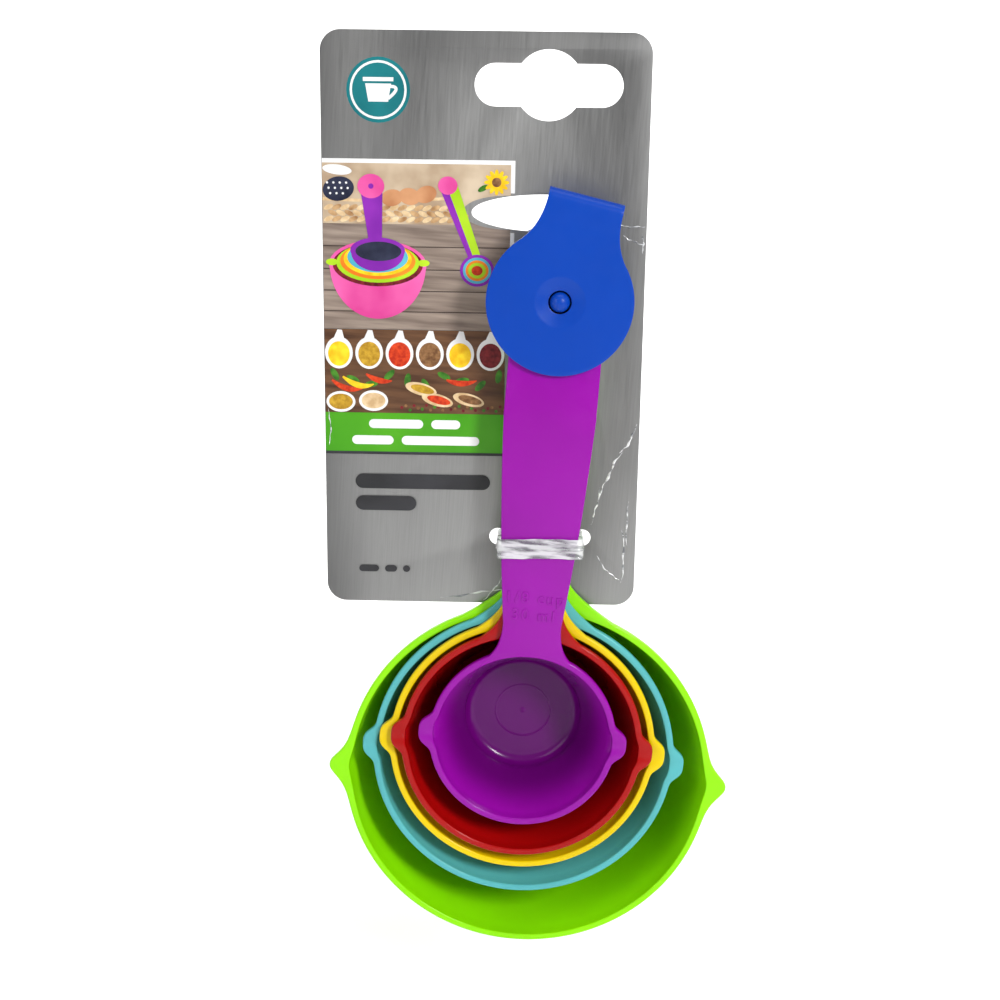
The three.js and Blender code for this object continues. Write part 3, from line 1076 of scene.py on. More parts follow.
@dataclass
class HangCard:
    """The laminated card with its cut-outs, in its own leaning frame under the peg."""

    finish: MetallicLaminate
    width: float = 87.0
    height: float = 156.0
    corner: float = 5.5
    thickness: float = 0.6
    centre_x: float = -16.6
    centre_z: float = -73.6
    arm_half: float = 19.5
    arm_height: float = 11.0
    circle: float = 9.1
    slot: tuple = (20.0, 4.9, -42.1)
    tie_z: float = -131.9
    tie_spacing: float = 23.7
    tie_radius: float = 2.4
    stud_hole: float = 4.2

    def rounded(self, left: float, right: float, low: float, high: float, radius: float) -> np.ndarray:
        """A counter-clockwise rectangle with round corners.

        Args:
            left: lowest X.
            right: highest X.
            low: lowest Z.
            high: highest Z.
            radius: the corners' radius.

        Returns:
            The outline.
        """
        corners = [
            arc(right - radius, high - radius, radius, 0, 90, 14),
            arc(left + radius, high - radius, radius, 90, 180, 14),
            arc(left + radius, low + radius, radius, 180, 270, 14),
            arc(right - radius, low + radius, radius, 270, 360, 14),
        ]
        return without_doubles(np.vstack(corners))

    def board_outline(self) -> np.ndarray:
        """The card's edge."""
        w, h = self.width / 2, self.height / 2
        x, z = self.centre_x, self.centre_z
        return self.rounded(x - w, x + w, z - h, z + h, self.corner)

    def hang_hole(self) -> np.ndarray:
        """The hang hole: two round-ended arms and a middle circle, clockwise.

        Returns:
            The outline.
        """
        half = self.arm_height / 2
        meet = math.degrees(math.asin(half / self.circle))
        reach = self.arm_half - half
        loop = np.vstack([
            arc(0, 0, self.circle, meet, 180 - meet, 24),
            arc(-reach, 0, half, 90, 270, 20),
            arc(0, 0, self.circle, 180 + meet, 360 - meet, 24),
            arc(reach, 0, half, -90, 90, 20),
        ])
        return without_doubles(loop + [0, -self.circle])[::-1]

    def holes(self) -> list:
        """Every cut-out as a clockwise outline."""
        a, b, z = self.slot
        turn = np.linspace(2 * np.pi, 0, 72, endpoint=False)
        band_slot = np.stack([a * np.cos(turn), z + b * np.sin(turn)], -1)
        stud = turn_about_y(np.array([STUD[0], 0, STUD[2]]), -CARD_LEAN)
        round_hole = [
            (stud[0], stud[2], self.stud_hole),
            (-self.tie_spacing / 2, self.tie_z, self.tie_radius),
            (self.tie_spacing / 2, self.tie_z, self.tie_radius),
        ]
        return [self.hang_hole(), band_slot, *[arc(x, zz, r, 360, 10, 36) for x, zz, r in round_hole]]

    def build(self) -> None:
        """Builds the board and rides it on the card's body."""
        edge, material = 0.12, self.finish.material()
        front = -self.thickness / 2
        board = slab("hang_board", self.board_outline(), self.holes(), front, self.thickness, edge, material)
        place(board, CARD_LEAN, 0, 0)
        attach(board, "card")
        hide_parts("hang_card")
        log.info("card: board")


# ---------------------------------------------------------------- print


class Ink(Enum):
    """The print's inks: name, dark tone, light tone, grain and its stretch."""

    WALL = ("wall", (0.36, 0.25, 0.16), (0.62, 0.50, 0.36), 90, (1, 1, 1))
    WICKER = ("wicker", (0.30, 0.15, 0.06), (0.62, 0.40, 0.20), 400, (1, 1, 1))
    WICKER_LIGHT = ("wicker_light", (0.55, 0.36, 0.18), (0.80, 0.62, 0.38), 400, (1, 1, 1))
    PLANK = ("plank", (0.15, 0.11, 0.09), (0.34, 0.27, 0.22), 160, (0.25, 1, 3))
    SEAM = ("seam", (0.03, 0.02, 0.02), (0.07, 0.05, 0.04), 200, (1, 1, 1))
    BOARD = ("board", (0.06, 0.025, 0.012), (0.16, 0.075, 0.035), 160, (0.3, 1, 3))
    WHITE = ("white", (0.74, 0.74, 0.74), (0.85, 0.85, 0.85), 60, (1, 1, 1))
    NAVY = ("navy", (0.01, 0.012, 0.03), (0.03, 0.035, 0.07), 200, (1, 1, 1))
    BAND_GREEN = ("band_green", (0.045, 0.28, 0.004), (0.075, 0.36, 0.008), 40, (1, 1, 1))
    LEAF = ("leaf", (0.02, 0.10, 0.008), (0.07, 0.26, 0.02), 500, (1, 1, 1))
    TEXT = ("text", (0.02, 0.02, 0.022), (0.035, 0.035, 0.04), 60, (1, 1, 1))
    YELLOW = ("yellow", (0.80, 0.42, 0.004), (0.95, 0.66, 0.02), 500, (1, 1, 1))
    OCHRE = ("ochre", (0.36, 0.19, 0.01), (0.60, 0.36, 0.03), 900, (1, 1, 1))
    RED = ("red", (0.42, 0.02, 0.004), (0.70, 0.06, 0.01), 900, (1, 1, 1))
    BROWN = ("brown", (0.13, 0.055, 0.02), (0.30, 0.15, 0.06), 900, (1, 1, 1))
    MAROON = ("maroon", (0.08, 0.004, 0.008), (0.22, 0.015, 0.02), 900, (1, 1, 1))
    EGG = ("egg", (0.42, 0.17, 0.07), (0.66, 0.34, 0.17), 100, (1, 1, 1))
    PINK = ("pink", (0.62, 0.05, 0.26), (0.82, 0.14, 0.42), 60, (1, 1, 1))
    PURPLE = ("purple", (0.16, 0.01, 0.30), (0.30, 0.03, 0.46), 60, (1, 1, 1))
    LIME = ("lime", (0.30, 0.55, 0.01), (0.46, 0.72, 0.02), 60, (1, 1, 1))
    AQUA = ("aqua", (0.05, 0.34, 0.46), (0.12, 0.50, 0.62), 60, (1, 1, 1))
    ORANGE = ("orange", (0.72, 0.16, 0.008), (0.88, 0.28, 0.02), 60, (1, 1, 1))
    TEAL = ("teal", (0.004, 0.12, 0.14), (0.01, 0.20, 0.22), 60, (1, 1, 1))


@dataclass
class PrintedArt:
    """The card's plain artwork: thin flat shapes, each a little in front of the one before."""

    front: float
    step: float = 0.008
    hair: float = 0.0004
    level: int = 0
    printed: int = 0
    shapes: dict = field(default_factory=dict)

    def put(self, ink: Ink, outline: np.ndarray, lift: int = 0) -> None:
        """Prints one filled shape.

        Args:
            ink: its ink.
            outline: X and Z on the card, in mm.
            lift: how many layers above the current one.
        """
        area = np.sum(outline[:, 0] * np.roll(outline[:, 1], -1) - outline[:, 1] * np.roll(outline[:, 0], -1))
        turned = outline if area > 0 else outline[::-1]
        self.printed += 1
        depth = self.front - self.step * (self.level + lift + 1) - self.hair * self.printed
        loop = np.column_stack([turned[:, 0], np.full(len(turned), depth), turned[:, 1]])
        self.shapes.setdefault(ink, []).append(loop)

    def oval(self, ink: Ink, x: float, z: float, a: float, b: float, tilt: float = 0, lift: int = 0) -> None:
        """Prints a filled ellipse.

        Args:
            ink: its ink.
            x: centre.
            z: centre.
            a: half width.
            b: half height.
            tilt: turn in degrees, counter-clockwise.
            lift: layers above the current one.
        """
        loop = arc(0, 0, 1, 0, 350, 36) * [a, b]
        c, s = math.cos(math.radians(tilt)), math.sin(math.radians(tilt))
        self.put(ink, loop @ np.array([[c, s], [-s, c]]) + [x, z], lift)

    def bar(self, ink: Ink, left: float, right: float, low: float, high: float, lift: int = 0) -> None:
        """Prints a filled rectangle.

        Args:
            ink: its ink.
            left: lowest X.
            right: highest X.
            low: lowest Z.
            high: highest Z.
            lift: layers above the current one.
        """
        self.put(ink, np.array([[left, low], [right, low], [right, high], [left, high]], float), lift)

    def words(self, ink: Ink, left: float, high: float, height: float, lengths: tuple, lift: int = 0) -> None:
        """Prints plain round-ended bars in place of a line of words.

        Args:
            ink: its ink.
            left: where the line starts.
            high: its upper edge.
            height: the bars' height.
            lengths: the words' lengths.
            lift: layers above the current one.
        """
        x, r = left, height / 2
        for length in lengths:
            ends = [arc(x + length - r, high - r, r, -90, 90, 10), arc(x + r, high - r, r, 90, 270, 10)]
            self.put(ink, np.vstack(ends), lift)
            x += length + height * 0.9

    def stroke(self, ink: Ink, route: np.ndarray, width: np.ndarray, lift: int = 0) -> None:
        """Prints a brush stroke of changing width along a route.

        Args:
            ink: its ink.
            route: points along its middle.
            width: full width at each point.
            lift: layers above the current one.
        """
        way = np.gradient(route, axis=0)
        way /= np.linalg.norm(way, axis=1, keepdims=True)
        side = np.stack([-way[:, 1], way[:, 0]], -1) * np.asarray(width)[:, None] / 2
        self.put(ink, np.vstack([route + side, (route - side)[::-1]]), lift)

    def badge(self) -> None:
        """A round badge with a plain cup on it."""
        x, z = -44.8, -10.8
        self.oval(Ink.TEAL, x, z, 8.4, 8.4)
        self.oval(Ink.WHITE, x, z, 7.5, 7.5, lift=1)
        self.oval(Ink.TEAL, x, z, 6.9, 6.9, lift=2)
        cup = np.array([[-3.4, 1.6], [-2.6, -3.0], [2.6, -3.0], [3.4, 1.6]]) + [x, z]
        self.put(Ink.WHITE, cup, 3)
        ear = bezier([(x + 3.0, z + 0.9), (x + 6.6, z + 1.0), (x + 2.6, z - 2.2)], 16)
        self.stroke(Ink.WHITE, ear, np.full(16, 0.8), 3)
        self.bar(Ink.WHITE, x - 4.0, x + 4.0, z + 2.2, z + 3.2, 3)

    def picture(self) -> None:
        """The kitchen picture: wall, wicker, planks, eggs, a flower, stacked cups and spoons."""
        left, right, top, low, mid = -59.9, -9.6, -29.6, -73.8, -45.5
        slot = bezier([(-9.6, -37.6), (-26.6, -37.6), (-26.6, -46.6), (-9.6, -46.6)], 30)
        high_part = np.vstack([[[left, top], [left, mid], [-20.6, mid]], slot[19::-1], [[right, top]]])
        self.put(Ink.WALL, high_part)
        planks = [[left, mid], [left, low], [right, low], [right, -46.7]]
        self.put(Ink.PLANK, np.vstack([planks, slot[:19:-1], [[-20.6, mid]]]))
        self.frame_lines(left, right, top, low)
        self.level += 1
        self.weave(left, mid)
        for z in (-51.5, -57.6, -63.4, -69.0):
            self.bar(Ink.SEAM, left, right, z - 0.14, z + 0.14, 1)
        for x, z, tilt in ((-41.3, -38.6, 8), (-36.6, -38.2, -12), (-32.2, -37.6, 20)):
            self.oval(Ink.EGG, x, z, 2.9, 2.2, tilt, 3)
        self.oval(Ink.NAVY, -55.6, -36.4, 4.2, 3.2, 10, 3)
        for k in range(11):
            row, place_in_row = divmod(k, 4)
            self.oval(Ink.WHITE, -58.6 + 1.7 * place_in_row + 0.4 * row, -34.8 - 1.4 * row, 0.3, 0.3, 0, 4)
        self.oval(Ink.WHITE, -55.9, -31.4, 3.9, 1.3, -6, 3)
        self.flower(-13.4, -34.2)
        self.cups_picture(-45.2, -56.4)
        self.spoons_picture()
        self.level += 12

    def frame_lines(self, left: float, right: float, top: float, low: float) -> None:
        """The picture's white edge lines, above it and to its right as far as the slot allows.

        Args:
            left: the picture's left.
            right: its right.
            top: its top.
            low: its bottom.
        """
        self.bar(Ink.WHITE, left, right + 1.1, top, top + 1.1, 1)
        self.bar(Ink.WHITE, right, right + 1.1, -37.0, top, 1)
        self.bar(Ink.WHITE, right, right + 1.1, low, -47.4, 1)

    def weave(self, left: float, low: float) -> None:
        """Rows of slanted canes in two tones.

        Args:
            left: where the basket starts.
            low: its lower edge.
        """
        for row in range(3):
            for k in range(17):
                x, z = left + 1.6 + 2.2 * k + (row % 2) * 1.1, low + 1.2 + 1.55 * row
                cane = Ink.WICKER if (k + row) % 2 else Ink.WICKER_LIGHT
                self.oval(cane, x, z, 1.35, 0.62, 24 - 48 * (row % 2), 1)
        edge = bezier([(left, low + 6.4), (-40, low + 5.6), (-23.5, low + 7.2)], 20)
        self.stroke(Ink.WICKER_LIGHT, edge, np.full(20, 0.8), 2)

    def flower(self, x: float, z: float) -> None:
        """A yellow flower with a brown eye.

        Args:
            x: its middle.
            z: its middle.
        """
        for k in range(12):
            turn = math.radians(30 * k)
            self.oval(Ink.YELLOW, x + 2.0 * math.cos(turn), z + 2.0 * math.sin(turn), 1.35, 0.55, 30 * k, 5)
        self.oval(Ink.BROWN, x, z, 1.25, 1.25, 0, 6)
        self.oval(Ink.LEAF, x - 3.6, z - 1.6, 1.5, 0.7, 30, 4)

    def cups_picture(self, x: float, z: float) -> None:
        """A stack of coloured cups seen from the front, the largest pink.

        Args:
            x: the largest rim's middle.
            z: the largest rim's middle.
        """
        body = np.vstack([arc(0, 0, 1, 180, 360, 30) * [13.0, 14.6], [[13.0, 0], [-13.0, 0]]]) + [x, z]
        self.put(Ink.PINK, body, 4)
        rings = [
            (Ink.PINK, 13.2, 6.6, 0),
            (Ink.MAROON, 12.2, 5.8, 0),
            (Ink.LIME, 11.2, 5.3, 0.5),
            (Ink.ORANGE, 10.2, 4.9, 1.0),
            (Ink.YELLOW, 9.2, 4.5, 1.5),
            (Ink.AQUA, 8.2, 4.1, 2.0),
        ]
        for k, (ink, a, b, rise) in enumerate(rings):
            self.oval(ink, x, z + rise, a, b, 0, 5 + k)
        inner = np.vstack([arc(0, 0, 1, 180, 360, 24) * [7.2, 5.2], [[7.2, 0], [-7.2, 0]]]) + [x, z + 3.4]
        self.put(Ink.PURPLE, inner, 11)
        self.oval(Ink.PURPLE, x, z + 3.8, 7.4, 3.5, 0, 11)
        self.oval(Ink.NAVY, x + 0.2, z + 3.6, 6.2, 2.6, 0, 12)
        handle = np.linspace([x - 0.6, z + 6.5], [x - 1.6, z + 20.6], 12)
        self.stroke(Ink.PURPLE, handle, np.linspace(3.6, 6.0, 12), 11)
        self.oval(Ink.PINK, x - 1.7, z + 20.8, 3.6, 3.2, 0, 12)
        self.oval(Ink.PURPLE, x - 1.7, z + 20.8, 0.7, 0.7, 0, 13)
        for side in (-1, 1):
            self.oval(Ink.LIME, x + side * 12.4, z + 0.6, 1.6, 0.9, 0, 7)

    def spoons_picture(self) -> None:
        """A fan of measuring spoons."""
        fan = [(Ink.PURPLE, -27.2, -18.6, 2.6), (Ink.LIME, -25.0, -17.2, 2.8)]
        for k, (ink, top_x, low_x, width) in enumerate(fan):
            handle = np.linspace([top_x, -35.8], [low_x - 1.0, -54.6], 12)
            self.stroke(ink, handle, np.linspace(width, width * 0.7, 12), 5 + k)
        rings = [
            (Ink.PURPLE, 4.6, 4.3),
            (Ink.AQUA, 3.8, 3.5),
            (Ink.ORANGE, 3.1, 2.8),
            (Ink.LIME, 2.4, 2.1),
            (Ink.RED, 1.5, 1.3),
        ]
        for k, (ink, a, b) in enumerate(rings):
            self.oval(ink, -18.4, -57.6, a, b, 0, 6 + k)
        self.oval(Ink.PINK, -26.4, -35.2, 2.6, 2.4, 0, 8)

    def spices(self) -> None:
        """The strip of spices: white spoons with heaps, leaves, peppers, scoops and small bowls."""
        left, right, top, low = -59.9, -10.6, -73.9, -97.2
        self.bar(Ink.BOARD, left, right, low, top)
        heaps = [Ink.YELLOW, Ink.OCHRE, Ink.RED, Ink.BROWN, Ink.YELLOW, Ink.MAROON]
        for k, ink in enumerate(heaps):
            x = -56.0 + 8.3 * k
            reach = min(1.0, (right - x) / 3.9)
            self.oval(Ink.WHITE, x, -80.4, 3.8 * reach, 4.4, 0, 2)
            self.stroke(Ink.WHITE, np.linspace([x, -77.5], [x + 0.3, -74.1], 8), np.linspace(3.6, 1.2, 8), 2)
            self.oval(ink, x, -80.7, 3.0 * reach, 3.4, 0, 3)
        for k in range(10):
            self.oval(Ink.LEAF, -57.2 + 5.0 * k, -86.4 - 1.3 * (k % 3), 1.9, 0.85, 35 * (k % 5) - 60, 1)
        peppers = [
            (Ink.RED, (-58, -88), (-54, -91.5), (-49.5, -90.2)),
            (Ink.YELLOW, (-55, -87), (-50.5, -90.8), (-46.5, -89)),
            (Ink.RED, (-48.6, -86.2), (-45, -88.8), (-41.5, -88)),
            (Ink.RED, (-26.5, -87.5), (-22.5, -89.4), (-18.2, -87.6)),
        ]
        for ink, a, b, c in peppers:
            self.stroke(ink, bezier([a, b, c], 16), 0.3 + 1.3 * np.sin(np.linspace(0.15, np.pi, 16)), 3)
        for x, z, ink in ((-55.6, -94.0, Ink.OCHRE), (-46.6, -93.6, Ink.WICKER_LIGHT)):
            self.oval(Ink.WHITE, x, z, 4.0, 2.9, 0, 4)
            self.oval(ink, x, z, 3.3, 2.2, 0, 5)
        for x, z, ink in ((-33.5, -90.2, Ink.OCHRE), (-29.0, -93.2, Ink.RED), (-20.4, -93.0, Ink.BROWN)):
            self.oval(Ink.WICKER_LIGHT, x, z, 4.4, 1.7, -14, 4)
            self.oval(ink, x + 0.4, z, 3.3, 1.1, -14, 5)
        for k in range(26):
            x, z = -38.8 + 1.13 * k, -95.4 + 0.7 * math.sin(2.4 * k)
            self.oval((Ink.MAROON, Ink.BROWN, Ink.LEAF)[k % 3], x, z, 0.42, 0.42, 0, 2)
        self.level += 8

    def headings(self) -> None:
        """The green band and plain bars where the headings are."""
        left, right = -59.9, -10.0
        self.bar(Ink.BAND_GREEN, left, right, -107.9, -97.0)
        self.bar(Ink.TEXT, left, right, -108.7, -107.9)
        self.words(Ink.WHITE, -47.9, -98.8, 2.5, (15.0, 8.0), 1)
        self.words(Ink.WHITE, -52.6, -103.4, 2.5, (11.5, 21.5), 1)
        self.words(Ink.TEXT, -51.8, -114.3, 4.2, (37.6,), 1)
        self.words(Ink.TEXT, -51.8, -120.6, 4.2, (17.0,), 1)
        self.words(Ink.TEXT, -51.0, -140.9, 1.9, (5.6, 3.4, 2.0), 1)

    def build(self) -> None:
        """Prints everything and rides it on the card."""
        self.badge()
        self.picture()
        self.spices()
        self.headings()
        for ink, loops in self.shapes.items():
            name, dark, light, scale, stretch = ink.value
            starts = np.cumsum([0] + [len(loop) for loop in loops])
            faces = [list(range(a, b)) for a, b in zip(starts[:-1], starts[1:])]
            material = PrintedInk(f"ink_{name}", dark, light, scale, stretch).material()
            piece = new_object(f"print_{name}", np.vstack(loops), faces, material)
            place(piece, CARD_LEAN, 0, 0)
            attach(piece, "card")
        log.info("print: %d inks", len(self.shapes))


@dataclass
class FilmCreases:
    """Creases of the clear laminate: slender ridges on the card's face, bright from the painted sheen in
    their film.
    """

    front: float

    def ridge(self, points: list, width: float, wave: float, phase: float, lift: float = 0.0) -> np.ndarray:
        """One ridge: a Bezier route that wavers, tapering to both ends.

        Args:
            points: the route's control points in X and Z.
            width: greatest width in mm.
            wave: how far it wavers.
            phase: where the waver starts.
            lift: how far it stands in front of the bare card, over the print.

        Returns:
            Rows of three points: one edge, the crest, the other edge.
        """
        base = self.front - lift
        t = np.linspace(0, 1, 60)
        route = bezier(points, 60)
        way = np.gradient(route, axis=0)
        way /= np.linalg.norm(way, axis=1, keepdims=True)
        side = np.stack([-way[:, 1], way[:, 0]], -1)
        waver = 0.5 * wave * (np.sin(11 * t + phase) + 0.5 * np.sin(27 * t + 2 * phase))
        route = route + side * waver[:, None]
        taper = width * np.sin(np.pi * t) ** 0.6 * (0.65 + 0.35 * np.sin(21 * t + phase))
        half = side * (taper / 2 + 0.01)[:, None]
        crest = base - 0.03 - 0.18 * taper
        edge = np.full(60, base - 0.02)
        lines = [(route - half, edge), (route, crest), (route + half, edge)]
        rows = [np.column_stack([p[:, 0], y, p[:, 1]]) for p, y in lines]
        return np.stack(rows, 1)

    def build(self) -> None:
        """Builds every crease as one piece on the card."""
        lines = [
            ([(19.6, -45.0), (23.0, -45.6), (26.6, -45.2)], 0.5, 0.25, 0.3),
            ([(20.6, -47.6), (23.4, -49.6), (26.4, -50.0)], 0.4, 0.3, 1.9),
            ([(25.6, -47.0), (26.4, -49.5), (25.9, -52.5)], 0.45, 0.15, 2.7),
            ([(25.9, -99.0), (25.2, -104.0), (21.5, -107.5)], 0.7, 0.35, 0.9),
            ([(22.4, -107.0), (18.4, -112.6), (16.2, -121.0)], 0.8, 0.45, 2.2),
            ([(16.6, -117.0), (15.8, -123.0), (14.2, -128.0)], 0.5, 0.3, 4.1),
            ([(24.6, -121.0), (24.0, -128.0), (24.4, -134.0)], 0.45, 0.2, 3.0),
            ([(23.0, -129.0), (24.3, -137.5), (23.2, -145.0)], 0.6, 0.3, 5.2),
            ([(16.0, -137.0), (19.0, -142.4), (22.6, -144.0)], 0.4, 0.3, 0.2),
            ([(-28.0, -150.4), (-19.0, -149.0), (-9.4, -147.2)], 0.6, 0.3, 1.2),
            ([(-16.0, -151.0), (-12.0, -147.6), (-9.6, -142.0)], 0.45, 0.25, 3.6),
            ([(-59.2, -96.0), (-58.0, -101.0), (-59.0, -106.5)], 0.35, 0.2, 2.0, 0.3),
        ]
        ridges = [self.ridge(*line) for line in lines]
        faces = np.vstack([grid_faces(60, 3)[:, ::-1] + 180 * k for k in range(len(ridges))])
        # The crease film's colour carries painted sheen and painted reflections.
        piece = new_object("film_creases", np.vstack([r.reshape(-1, 3) for r in ridges]), faces.tolist(),
                           ClearFilm("crease_film", 0.85).material())
        place(piece, CARD_LEAN, 0, 0)
        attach(piece, "card")
        log.info("film: %d creases", len(ridges))


# ---------------------------------------------------------------- twist tie


@dataclass
class TwistTie:
    """The clear ribbon round the handles with its wire, and the twisted ends behind the card."""

    film: ClearFilm
    wire: BrightWire
    front: float
    z: float = -131.9
    half_span: float = 11.85
    back: float = 0.95
    width: float = 5.6
    leg_width: float = 3.9
    corner: float = 1.6
    tail_length: float = 17.0
    wire_radius: float = 0.21

    def loop(self, count: int = 240) -> np.ndarray:
        """The closed route in X and Y: a rectangle with round corners, evenly stepped.

        Args:
            count: how many points.

        Returns:
            The route.
        """
        front, back = self.front, self.back
        corners = [
            arc(self.half_span - self.corner, back - self.corner, self.corner, 0, 90, 12),
            arc(-self.half_span + self.corner, back - self.corner, self.corner, 90, 180, 12),
            arc(-self.half_span + self.corner, front + self.corner, self.corner, 180, 270, 12),
            arc(self.half_span - self.corner, front + self.corner, self.corner, 270, 360, 12),
        ]
        route = np.vstack([*corners, corners[0][:1]])
        length = np.concatenate([[0], np.cumsum(np.linalg.norm(np.diff(route, axis=0), axis=1))])
        at = np.linspace(0, length[-1], count, endpoint=False)
        return np.stack([np.interp(at, length, route[:, 0]), np.interp(at, length, route[:, 1])], -1)

    def swept(
        self, name: str, out: np.ndarray, up: np.ndarray, material: bpy.types.Material
    ) -> bpy.types.Object:
        """Sweeps a closed section round the loop.

        Its height drifts by small sines of the route, as a ribbon pulled tight by hand does.

        Args:
            name: the piece's name.
            out: how far each point of the section stands outwards, alike all round or a row a step.
            up: how high each point stands, in the same form.
            material: what it is made of.

        Returns:
            The swept piece.
        """
        route = self.loop()
        along = np.roll(route, -1, 0) - np.roll(route, 1, 0)
        along /= np.linalg.norm(along, axis=1, keepdims=True)
        outward = np.stack([along[:, 1], -along[:, 0]], -1)
        way = np.linspace(0, 2 * np.pi, len(route), endpoint=False)[:, None]
        sway = 0.12 * np.sin(3 * way + 0.6) + 0.05 * np.sin(11 * way)
        points = np.stack([
            route[:, 0:1] + outward[:, 0:1] * out,
            route[:, 1:2] + outward[:, 1:2] * out,
            self.z + sway + up,
        ], -1)
        faces = grid_faces(len(route), points.shape[1], close_rows=True, close_columns=True)
        piece = new_object(name, points.reshape(-1, 3), faces.tolist(), material)
        recalculate_outwards(piece)
        return place(piece, CARD_LEAN, 0, 0)

    def ribbon(self, material: bpy.types.Material) -> bpy.types.Object:
        """The loop of ribbon: a thin lens section with a ridge over the wire, wider in front.

        Args:
            material: the film.

        Returns:
            The ribbon loop.
        """
        turn = np.linspace(0, 2 * np.pi, 28, endpoint=False)
        across = np.cos(turn)
        lift = 0.13 * np.sin(turn) + 0.3 * np.sin(turn) * np.exp(-((across / 0.13) ** 2))
        lift = lift + 0.05 * np.sign(np.sin(turn)) * np.exp(-(((np.abs(across) - 0.8) / 0.12) ** 2))
        in_front = np.clip((self.front + 3.0 - self.loop()[:, 1:]) / 2.2, 0, 1)
        half = (self.leg_width + (self.width - self.leg_width) * in_front) / 2
        way = np.linspace(0, 2 * np.pi, len(half), endpoint=False)[:, None]
        ripple = 0.035 * np.sin(23 * way) * across**2
        return self.swept("tie_ribbon_loop", lift + ripple, half * across, material)

    def wire_loop(self, material: bpy.types.Material) -> bpy.types.Object:
        """The wire inside the ribbon's ridge.

        Args:
            material: the steel.

        Returns:
            The wire loop.
        """
        turn = np.linspace(0, 2 * np.pi, 12, endpoint=False)
        out, up = self.wire_radius * np.sin(turn), self.wire_radius * np.cos(turn)
        return self.swept("tie_wire_loop", out, up, material)

    def tail(self, phase: float, name: str, material: bpy.types.Material) -> bpy.types.Object:
        """One of the two ribbon ends, wound round the other behind the card and hanging down.

        A flat oval section turns twice along the way and rides on a helix round the twist's middle.

        Args:
            phase: where round the twist it starts, in radians.
            name: the piece's name.
            material: the film.

        Returns:
            The ribbon end.
        """
        t = np.linspace(0, 1, 90)[:, None]
        turn = np.linspace(0, 2 * np.pi, 16, endpoint=False)[None, :]
        wind = phase + 4 * np.pi * t
        open_up = 0.45 + 1.1 * np.clip((t - 0.75) / 0.25, 0, 1) ** 2
        flat, thin = 1.25 * np.cos(turn), 0.28 * np.sin(turn)
        x = open_up * np.cos(wind) - flat * np.sin(wind) + thin * np.cos(wind)
        y = open_up * np.sin(wind) + flat * np.cos(wind) + thin * np.sin(wind)
        z = self.z + 1.4 - self.tail_length * t + 0 * turn
        points = np.stack([x, self.back + 2.25 + y, z], -1)
        faces = grid_faces(90, 16, close_columns=True).tolist()
        faces += [list(range(16))[::-1], list(range(89 * 16, 90 * 16))]
        piece = new_object(name, points.reshape(-1, 3), faces, material)
        recalculate_outwards(piece)
        return place(piece, CARD_LEAN, 0, 0)

    def build(self) -> None:
        """Builds the tie and rides it on the card's body."""
        # The ribbon's clear film carries painted sheen and painted reflections in its colour.
        film, wire = self.film.material(), self.wire.material()
        ribbons = [
            self.ribbon(film),
            self.tail(0.0, "tie_ribbon_end_a", film),
            self.tail(math.pi, "tie_ribbon_end_b", film),
        ]
        steel = self.wire_loop(wire)
        for piece in ribbons:
            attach(piece, "card")
            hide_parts("tie_ribbon")
        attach(steel, "card")
        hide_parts("tie_wire")
        log.info("tie: ribbon, two ends and wire")


# ---------------------------------------------------------------- studio


@dataclass(frozen=True)
class SoftLight:
    """A soft rectangular light: place, size and target in mm, power in watts."""

    name: str
    place: tuple
    size: tuple
    watts: float
    target: tuple | None = None


LIGHTS = (
    SoftLight("key", place=(430, -640, 260), size=(150, 260), watts=6.0),
    SoftLight("fill", place=(-620, -520, 160), size=(500, 600), watts=1.7),
    SoftLight("top", place=(0, -160, 760), size=(600, 400), watts=2.0),
    SoftLight("back", place=(-200, 600, 500), size=(500, 500), watts=1.2),
    SoftLight("wash", place=(0, 250, 1100), size=(1500, 300), watts=48.0, target=(0, 1900, 700)),
)


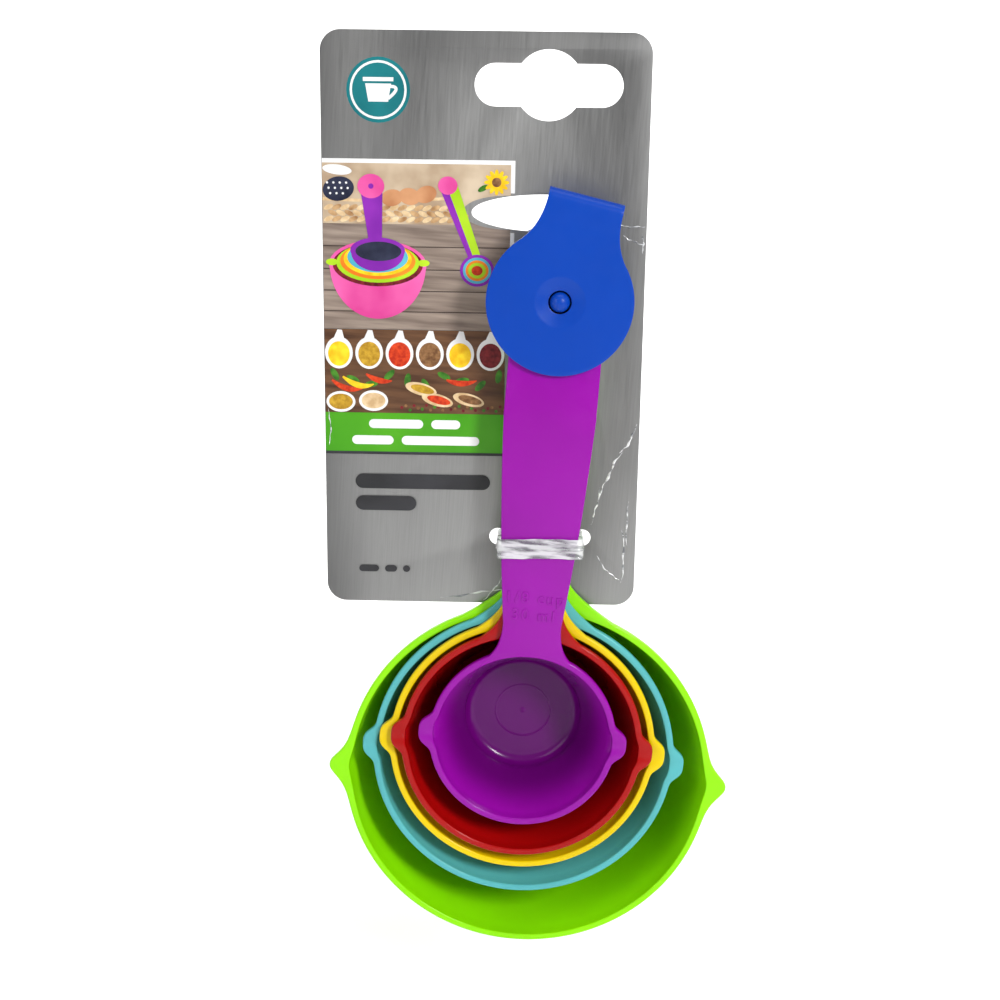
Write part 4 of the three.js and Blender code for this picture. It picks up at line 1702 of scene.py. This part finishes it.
@dataclass
class Studio:
    """Pale floor, soft lights and the camera."""

    aim: tuple = (-3.73, -0.3, -121.8)
    distance: float = 430.0
    elevation: float = 14.5
    roll: float = 4.5
    lens: float = 55.3
    surround: float = 0.3

    def camera(self) -> None:
        """A camera above the front of the set, aimed a little down and rolled with the card."""
        rise = math.radians(self.elevation)
        data = bpy.data.cameras.new("camera")
        data.lens = self.lens
        data.sensor_width = 36.0
        data.clip_start = 0.01
        holder = bpy.data.objects.new("camera", data)
        way = Vector((0, -math.cos(rise), math.sin(rise)))
        holder.location = (Vector(self.aim) + self.distance * way) * MM
        turn = way.to_track_quat("Z", "Y").to_matrix().to_4x4()
        roll = Matrix.Rotation(math.radians(self.roll), 4, "Z")
        holder.matrix_world = Matrix.Translation(holder.location) @ turn @ roll
        bpy.context.scene.collection.objects.link(holder)
        bpy.context.scene.camera = holder

    def floor(self) -> None:
        """A pale floor below the hanging set that curves up into a backdrop behind it."""
        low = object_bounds()[0][2] / MM - FLOOR_DROP
        bend, bend_at, front, top, side = 900.0, 700.0, -3000.0, 4000.0, 4000.0
        curve = arc(bend_at, low + bend, bend, -90, 0, 24)
        route = np.vstack([[[front, low]], curve, [[bend_at + bend, top]]])
        across = np.array([-side, side])
        flat = 0 * across
        grid = np.stack([across + 0 * route[:, :1], route[:, :1] + flat, route[:, 1:] + flat], -1)
        faces = grid_faces(len(route), 2)[:, ::-1]
        material, shader, nodes = new_material("pale_floor")
        tone = nodes.ramp(nodes.noise(2), [(0.3, (0.90, 0.90, 0.90)), (0.7, (0.93, 0.93, 0.93))])
        nodes.link(tone, shader.inputs["Base Color"])
        shader.inputs["Roughness"].default_value = 0.8
        new_object("floor", grid.reshape(-1, 3), faces.tolist(), material)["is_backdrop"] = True

    def light(self, soft: SoftLight) -> None:
        """Adds one light, which points at the set when it has no target of its own.

        Args:
            soft: the light.
        """
        data = bpy.data.lights.new(soft.name, "AREA")
        data.shape = "RECTANGLE"
        data.size, data.size_y = soft.size[0] * MM, soft.size[1] * MM
        data.energy = soft.watts
        holder = bpy.data.objects.new(soft.name, data)
        holder.location = Vector(soft.place) * MM
        aim = Vector(soft.target or self.aim) * MM - holder.location
        holder.rotation_euler = aim.to_track_quat("-Z", "Y").to_euler()
        bpy.context.scene.collection.objects.link(holder)

    def world(self) -> None:
        """A plain, nearly white surrounding."""
        world = bpy.data.worlds.new("studio")
        world.use_nodes = True
        world.node_tree.nodes["Background"].inputs["Color"].default_value = (1, 1, 1, 1)
        world.node_tree.nodes["Background"].inputs["Strength"].default_value = self.surround
        bpy.context.scene.world = world

    def build(self) -> None:
        """Builds the whole studio."""
        bpy.context.scene.view_settings.view_transform = "Standard"
        self.camera()
        self.floor()
        self.world()
        for soft in LIGHTS:
            self.light(soft)
        log.info("studio")


# ---------------------------------------------------------------- the set


LUG = Spout(SpoutForm.LUG, proud=3.1, half_width=5.0, inner_share=0.28, below=0.3, reach_down=8.0)
BEAK = Spout(SpoutForm.BEAK, proud=5.0, half_width=8.5, inner_share=0.22, below=0.5, reach_down=17.0)
HANDLE_PITCH = 2.3
MARKS = ("1/8 cup", "30 ml")
FRONT_HANDLE = -11.8


def cup_plastic(name: str, colour: tuple, order: int) -> MouldedPlastic:
    """A cup's plastic with painted shade: darker with depth behind its own mouth and most of all in the small
    cups.

    Args:
        name: the finish's name.
        colour: the rim's colour.
        order: the cup's place in the set, 0 for the foremost.

    Returns:
        The finish.
    """
    mouth = FRONT_HANDLE + order * HANDLE_PITCH
    # Painted shade: the lower the factor, the darker the deep part of the cup; the small cups get the
    # darkest.
    return MouldedPlastic(name, colour, shade_from=mouth + 1.5, shade_to=mouth + 15, shade=0.45 + 0.1 * order)


def cups() -> list:
    """The five cups, smallest and foremost first.

    Returns:
        The cups, not yet built.
    """
    rows = [
        ("cup_eighth", "purple_plastic", (0.27, 0.003, 0.32), 26.5, 17.0, 22, -124.3, LUG, MARKS, 0.0),
        ("cup_quarter", "red_plastic", (0.36, 0.002, 0.002), 34.4, 24.5, 24, -127.2, LUG, (), 0.0),
        ("cup_third", "yellow_plastic", (0.74, 0.54, 0.0005), 38.0, 27.5, 25, -128.6, LUG, (), 0.1),
        ("cup_half", "light_blue_plastic", (0.09, 0.41, 0.44), 43.4, 32.5, 28, -132.1, LUG, (), 0.35),
        ("cup_full", "green_plastic", (0.26, 0.74, 0.001), 53.0, 41.5, 36, -140.0, BEAK, (), 1.1),
    ]
    return [
        MeasuringCup(node, cup_plastic(finish, colour, order), rim, floor, depth, centre,
                     FRONT_HANDLE + order * HANDLE_PITCH, spout, marks, swing)
        for order, (node, finish, colour, rim, floor, depth, centre, spout, marks, swing) in enumerate(rows)
    ]


def main() -> None:
    """Builds the set in order, from the card to the studio."""
    logging.basicConfig(level=logging.INFO, format="%(name)s: %(message)s")
    HangCard(MetallicLaminate()).build()
    PrintedArt(-0.3).build()
    FilmCreases(-0.32).build()
    for cup in cups():
        cup.build()
    clip_plastic = MouldedPlastic("blue_plastic", (0.0004, 0.047, 0.37), roughness=0.36, cloud=0.04)
    FoldingClip(clip_plastic, front=-13.5, back=0.9).build()
    TwistTie(ClearFilm("clear_film"), BrightWire(), FRONT_HANDLE - 0.75).build()
    Studio().build()


if __name__ == "__main__":
    main()
